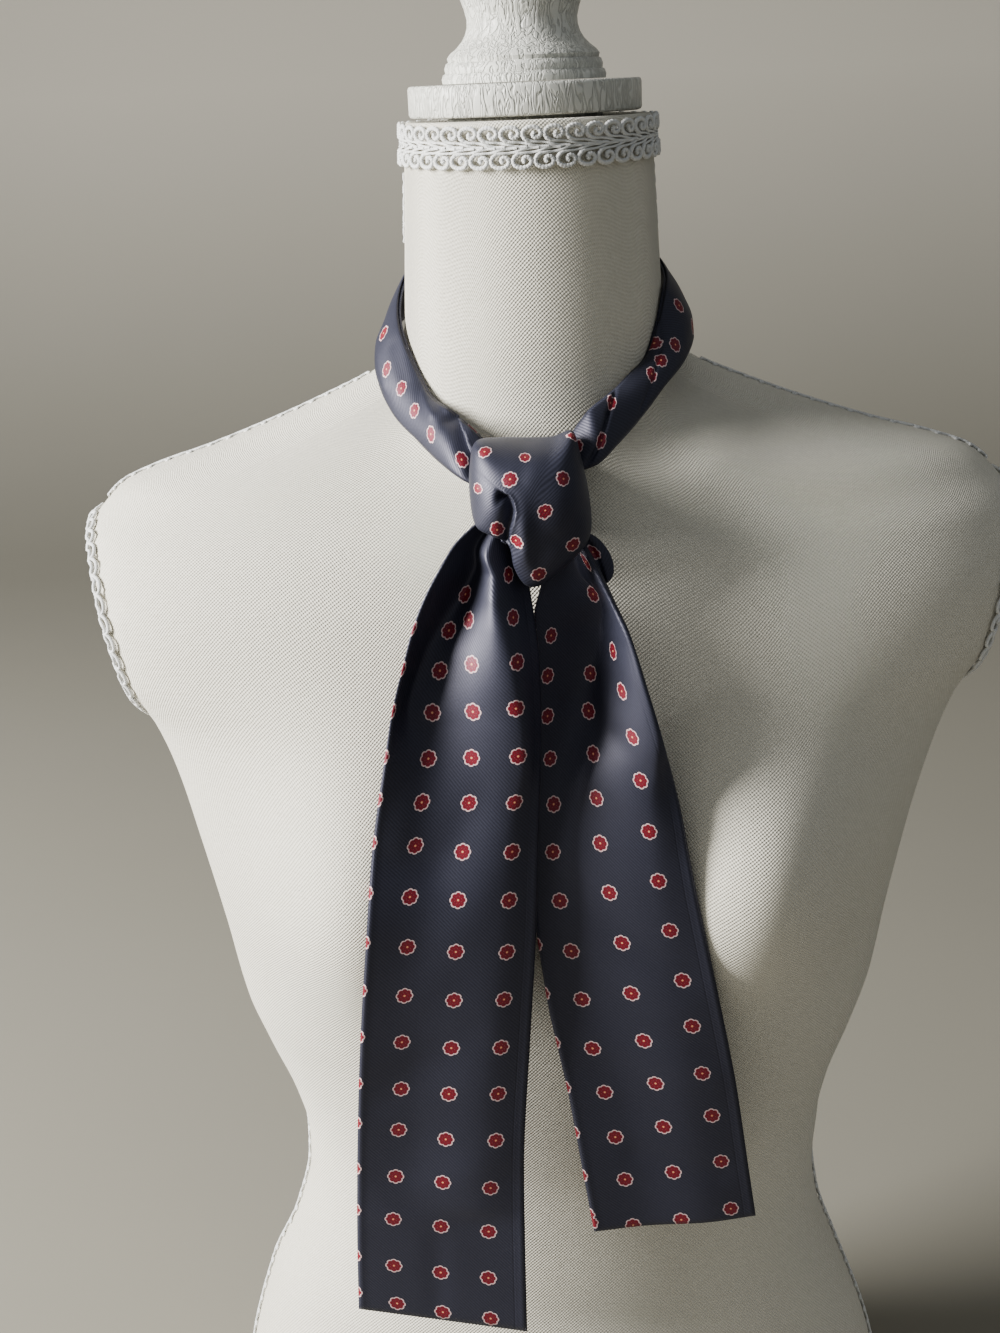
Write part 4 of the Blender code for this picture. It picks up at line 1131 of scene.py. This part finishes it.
def loop_spot(share, side, angle):
    """Point of the tube's skin at a share of the path, on its outer (1) or inner (-1) side."""
    outer_r, outer_z, run_r, run_z, width, belly = loop_frame(angle)
    run, rise, _ = loop_path(share, width)
    before = loop_path(max(share - NEAR_SHARE, 0.0), width)
    after = loop_path(min(share + NEAR_SHARE, 1.0), width)
    step_a, step_n = after[0] - before[0], after[1] - before[1]
    length = math.hypot(step_a, step_n)
    end_gap = min(share, 1.0 - share) * 3 * width
    half = side * LAYER_HALF * math.sqrt(min(1.0, end_gap / LAYER_ROUND))
    run += half * step_n / length
    rise -= half * step_a / length
    t = run / width
    scale = (METRES_A_DEGREE, width)
    if angle < HOLLOW_TO:
        # The two lower layers give way under the hollow, a little less than the upper one.
        give = 1.0 if share < UPPER_LAYER else LOWER_GIVE
        rise -= hollow(LOOP_LIP, *LOOP_HOLLOW, angle, t, scale) * give
    if share < UPPER_LAYER:
        creases = [(a * scale[0], b * scale[1], c * scale[0], d * scale[1], e, f)
                   for a, b, c, d, e, f in LOOP_CREASES
                   if min(a, c) - CREASE_TO < angle < max(a, c) + CREASE_TO]
        rise += soft_creases(creases, angle * scale[0], t * scale[1]) * min(1.0, t * 6)
    out = belly * math.sin(math.pi * min(max(t, 0.0), 1.0)) + rise
    radius = outer_r + run_r * t + run_z / width * out
    height = outer_z + run_z * t - run_r / width * out
    turn = math.radians(-angle)
    return (radius * math.sin(turn), -radius * math.cos(turn), height)


def loop_angle(v):
    return NECK_LOOP[0][0] + (NECK_LOOP[-1][0] - NECK_LOOP[0][0]) * v


loop_run = running([loop_spot(0.5 / 3, 1.0, loop_angle(k / LOOP_CUTS))
                    for k in range(LOOP_CUTS + 1)])


def loop_place(u, v):
    return loop_spot(*tube_side(u), loop_angle(v))


def loop_chart(u, v):
    width = loop_frame(loop_angle(v))[4]
    return (loop_path(tube_side(u)[0], width)[2], part_way(loop_run, v))


loop_prints = LOOP_PRINTS + [(a, loop_run[-1] - b) for a, b in LOOP_PRINTS_RIGHT]
neck_loop = fold_surface("scarf_neck_loop", LOOP_COLUMNS, LOOP_ROWS, loop_place, silk,
                         loop_chart, near_prints(loop_prints, 1.10))
stand_for(neck_loop, "slate_silk", "neck_band_left", "neck_band_back", "neck_band_right")


# Scarf, its knot. The longer end passes once over the other and down through the loop: its
# wrap bulges over hidden layers, with a dimple where it is pulled in beside its left lobe.
KNOT_OUTLINE = from_mm((
    # x, z, edge y
    (-26.8, 577.5, -82), (-16.7, 577.8, -77), (-6, 576.6, -73), (4.5, 576.8, -74),
    (12.2, 580, -81), (15.2, 570.6, -84), (17.5, 558.7, -85), (18.7, 547.2, -86), (18, 540, -90),
    (15, 535.2, -94), (7.2, 528, -97), (-0.7, 522.4, -98.5), (-6.5, 520.8, -100),
    (-10.5, 523.2, -101), (-13.8, 530, -101.5), (-15.6, 539, -101), (-22.2, 542.8, -100),
    (-28.3, 546.2, -96), (-30.2, 556, -87.5), (-29.8, 568, -85),
))
KNOT_CENTRE = (-0.0055, 0.5540)
KNOT_FRONT_Y = -0.1085
KNOT_FULLNESS = 2.6
WRAP_SKIN = 0.0009
RING_SPACING = 1.7
RING_SHARPENS = 5
WRAP_COLUMNS = 240
WRAP_ROWS = 84
SPOKE_CUTS = 60
KNOT_RELIEF = from_mm((
    # broad hollows (plus) and swells (minus): x, z, reach in x and z, depth
    (-15, 539, 3.2, 6, 3.4), (-9.5, 545, 4, 11, -2.2), (10, 560, 9, 12, -1),
    (-23.5, 553, 5.5, 6, -1), (1, 564, 8, 6, 0.8),
))
# The dimple ends in a sharp lip: its points, then its reach and depth.
KNOT_LIP = from_mm((
    (-16.2, 561.1), (-14.3, 560.2), (-12.8, 557.8), (-12.2, 554), (-13, 550), (-14.3, 545.8),
    (-14.9, 541.5),
))
KNOT_HOLLOW = (0.0042, 0.0046)
KNOT_CREASES = from_mm((
    # x and z of both ends, reach, height
    (-6, 577, -10, 566, 3.4, -0.5), (-10, 536, -4, 523, 3, 0.7), (15, 552, 6, 540, 4, -0.6),
    (2, 542, -6, 530, 4, -0.5),
))
KNOT_PRINTS = from_mm((
    # x and z of each flower's middle
    (-23.3, 575.3), (-7.5, 573.2), (-13.9, 566.3), (7.1, 565.3), (-26.6, 562), (-0.7, 553.9),
    (-19.8, 546.3), (-12.6, 541.9), (10.3, 538.1), (-3.9, 527.1), (12.5, 578.9),
))


def knot_outline(share):
    """Outline point of the wrap: X, Z and edge depth, on a smooth closed curve."""
    count = len(KNOT_OUTLINE)
    i, t = divmod(share * count, 1)
    return curve_between([KNOT_OUTLINE[(int(i) + k) % count] for k in (-1, 0, 1, 2)], t)


@functools.cache
def ring_ends(share):
    """Outline point of the outermost ring, and the rounder one that the inner rings have."""
    near = [knot_outline(share + k / 40) for k in range(-4, 5)]
    return knot_outline(share), [sum(column) / 9 for column in zip(*near)]


def wrap_spot(share, out):
    """Point of the wrap's skin: share goes round, out goes from its middle to its edge."""
    # The rings grow rounder towards the middle, so that no corner of the edge makes a streak.
    x, z, edge_y = (b + (a - b) * out ** RING_SHARPENS for a, b in zip(*ring_ends(share)))
    px = KNOT_CENTRE[0] + (x - KNOT_CENTRE[0]) * out
    pz = KNOT_CENTRE[1] + (z - KNOT_CENTRE[1]) * out
    dome = 1.0 - (1.0 - out ** KNOT_FULLNESS) ** (1 / KNOT_FULLNESS)
    py = KNOT_FRONT_Y + (edge_y - KNOT_FRONT_Y) * dome
    for mid_x, mid_z, wide, high, depth in KNOT_RELIEF:
        away = ((px - mid_x) / wide) ** 2 + ((pz - mid_z) / high) ** 2
        py += depth * math.exp(-away) * (1.0 - dome)
    rise = soft_creases(KNOT_CREASES, px, pz) - hollow(KNOT_LIP, *KNOT_HOLLOW, px, pz)
    return (px, py - rise * (1.0 - dome) ** 0.5, pz)


def wrap_place(u, v):
    # The rings stand closer together towards the edge, where the wrap curves back.
    return wrap_spot(u, 1.0 - (1.0 - v) ** RING_SPACING)


@functools.cache
def spoke(u):
    return running([wrap_place(u, k / SPOKE_CUTS) for k in range(SPOKE_CUTS + 1)])


def wrap_chart(u, v):
    """The wrap laid flat: each spoke from its middle keeps its length."""
    run = part_way(spoke(u), v)
    x, z, _ = knot_outline(u)
    length = math.hypot(x - KNOT_CENTRE[0], z - KNOT_CENTRE[1])
    return ((x - KNOT_CENTRE[0]) / length * run, (z - KNOT_CENTRE[1]) / length * run)


wrap_spots = {(i / WRAP_COLUMNS, j / SPOKE_CUTS): wrap_place(i / WRAP_COLUMNS, j / SPOKE_CUTS)
              for i in range(WRAP_COLUMNS) for j in range(SPOKE_CUTS + 1)}


def wrap_chart_at(x, z):
    """The flat place of a point that is given by its X and Z on the wrap."""
    return wrap_chart(*min(wrap_spots, key=lambda k: math.hypot(wrap_spots[k][0] - x,
                                                                 wrap_spots[k][2] - z)))


knot_wrap = fold_surface("scarf_knot_wrap", WRAP_COLUMNS, WRAP_ROWS, wrap_place, silk,
                         wrap_chart,
                         near_prints([wrap_chart_at(x, z) for x, z in KNOT_PRINTS], 1.18),
                         shut=False)
skin = knot_wrap.modifiers.new("cloth_thickness", "SOLIDIFY")
skin.thickness = WRAP_SKIN
skin.offset = -1.0
stand_for(knot_wrap, "slate_silk", "knot_wrap")


# Scarf, inside the knot. The layers under the wrap are pressed together: a rounded heap
# with the edges of its pleats showing above and below.
KNOT_LAYERS = from_mm((
    # height, half width, front y
    (540.5, 9, -88), (542.5, 13, -90), (548, 15.5, -91.5), (556, 16.2, -92), (564, 16, -91),
    (571, 13, -88), (573.5, 9, -85),
))
LAYERS_X = -0.0045
LAYERS_FOOT = 0.5400
LAYERS_HEIGHT = 0.0340
LAYERS_SQUARE = 4.0
LAYERS_CLOTH = (0.10, 0.035)
LAYERS_PRINTS = ((0.012, 0.010), (0.045, 0.022), (0.080, 0.008))
PLEATS = 7
PLEAT_DEPTH = 0.06


def form_front(x, height):
    """Y of the cover's front at an X and a height."""
    low, high = 0.0, math.pi / 2
    for _ in range(24):
        turn = 0.5 * (low + high)
        point = form_point(height, turn)
        low, high = (turn, high) if point[0] < abs(x) else (low, turn)
    return point[1]


@functools.cache
def layer_section(v):
    height = LAYERS_FOOT + LAYERS_HEIGHT * v
    return (height, *read_table(KNOT_LAYERS, height), form_front(LAYERS_X, height) - 2 * SEAM_GAP)


def layers_place(u, v):
    height, half, front, back = layer_section(v)
    turn = 2 * math.pi * u
    across, ahead = math.sin(turn), math.cos(turn)
    square = abs(across) ** LAYERS_SQUARE + abs(ahead) ** LAYERS_SQUARE
    ends = 0.86 + 0.14 * math.sqrt(max(0.0, 1.0 - abs(2 * v - 1) ** 6))
    reach = square ** (-1 / LAYERS_SQUARE) * ends
    pleat = 1.0 - PLEAT_DEPTH * (0.5 + 0.5 * math.cos(PLEATS * math.pi * (ahead + 1.0)))
    return (LAYERS_X + half * across * reach * pleat,
            0.5 * (front + back) - 0.5 * (back - front) * ahead * reach, height)


def layers_chart(u, v):
    return (u * LAYERS_CLOTH[0], v * LAYERS_CLOTH[1])


knot_layers = fold_surface("scarf_knot_layers", 96, 30, layers_place, silk, layers_chart,
                           near_prints(LAYERS_PRINTS))
stand_for(knot_layers, "slate_silk", "knot_core")


# Scarf, the tuck behind the knot. A loose fold of the shorter end stands out a little
# beside the knot, at its lower right, before the end hangs down.
TUCK = from_mm((
    # height, middle x, half width, middle y
    (540, 14.6, 3, -87.6), (535, 18.2, 4.5, -87.6), (529, 21.3, 5, -89.2), (523, 23, 4.2, -91.2),
    (519, 23.6, 2.5, -92.8),
))
TUCK_FOOT = 0.5188
TUCK_HEIGHT = 0.0214
TUCK_HALF_WALL = 0.0018
TUCK_HOLLOW = 0.0009
TUCK_CLOTH = (0.0050, 0.0215)


def tuck_place(u, v):
    height = TUCK_FOOT + TUCK_HEIGHT * v
    x, half, y = read_table(TUCK, height)
    across, ahead = math.cos(2 * math.pi * u), math.sin(2 * math.pi * u)
    ends = math.sqrt(max(0.02, 1.0 - abs(2 * v - 1) ** 5))
    dent = TUCK_HOLLOW * math.exp(-((across + 0.25) / 0.3) ** 2) * max(0.0, -ahead)
    return (x + half * across * ends, y + TUCK_HALF_WALL * ahead * ends + dent, height)


def tuck_chart(u, v):
    return (TUCK_CLOTH[0] * math.cos(2 * math.pi * u), TUCK_CLOTH[1] * v)


knot_tuck = fold_surface("scarf_knot_tuck", 64, 40, tuck_place, silk, tuck_chart,
                         near_prints([(-0.0015, 0.0125)], 1.25))
stand_for(knot_tuck, "slate_silk", "knot_tuck")
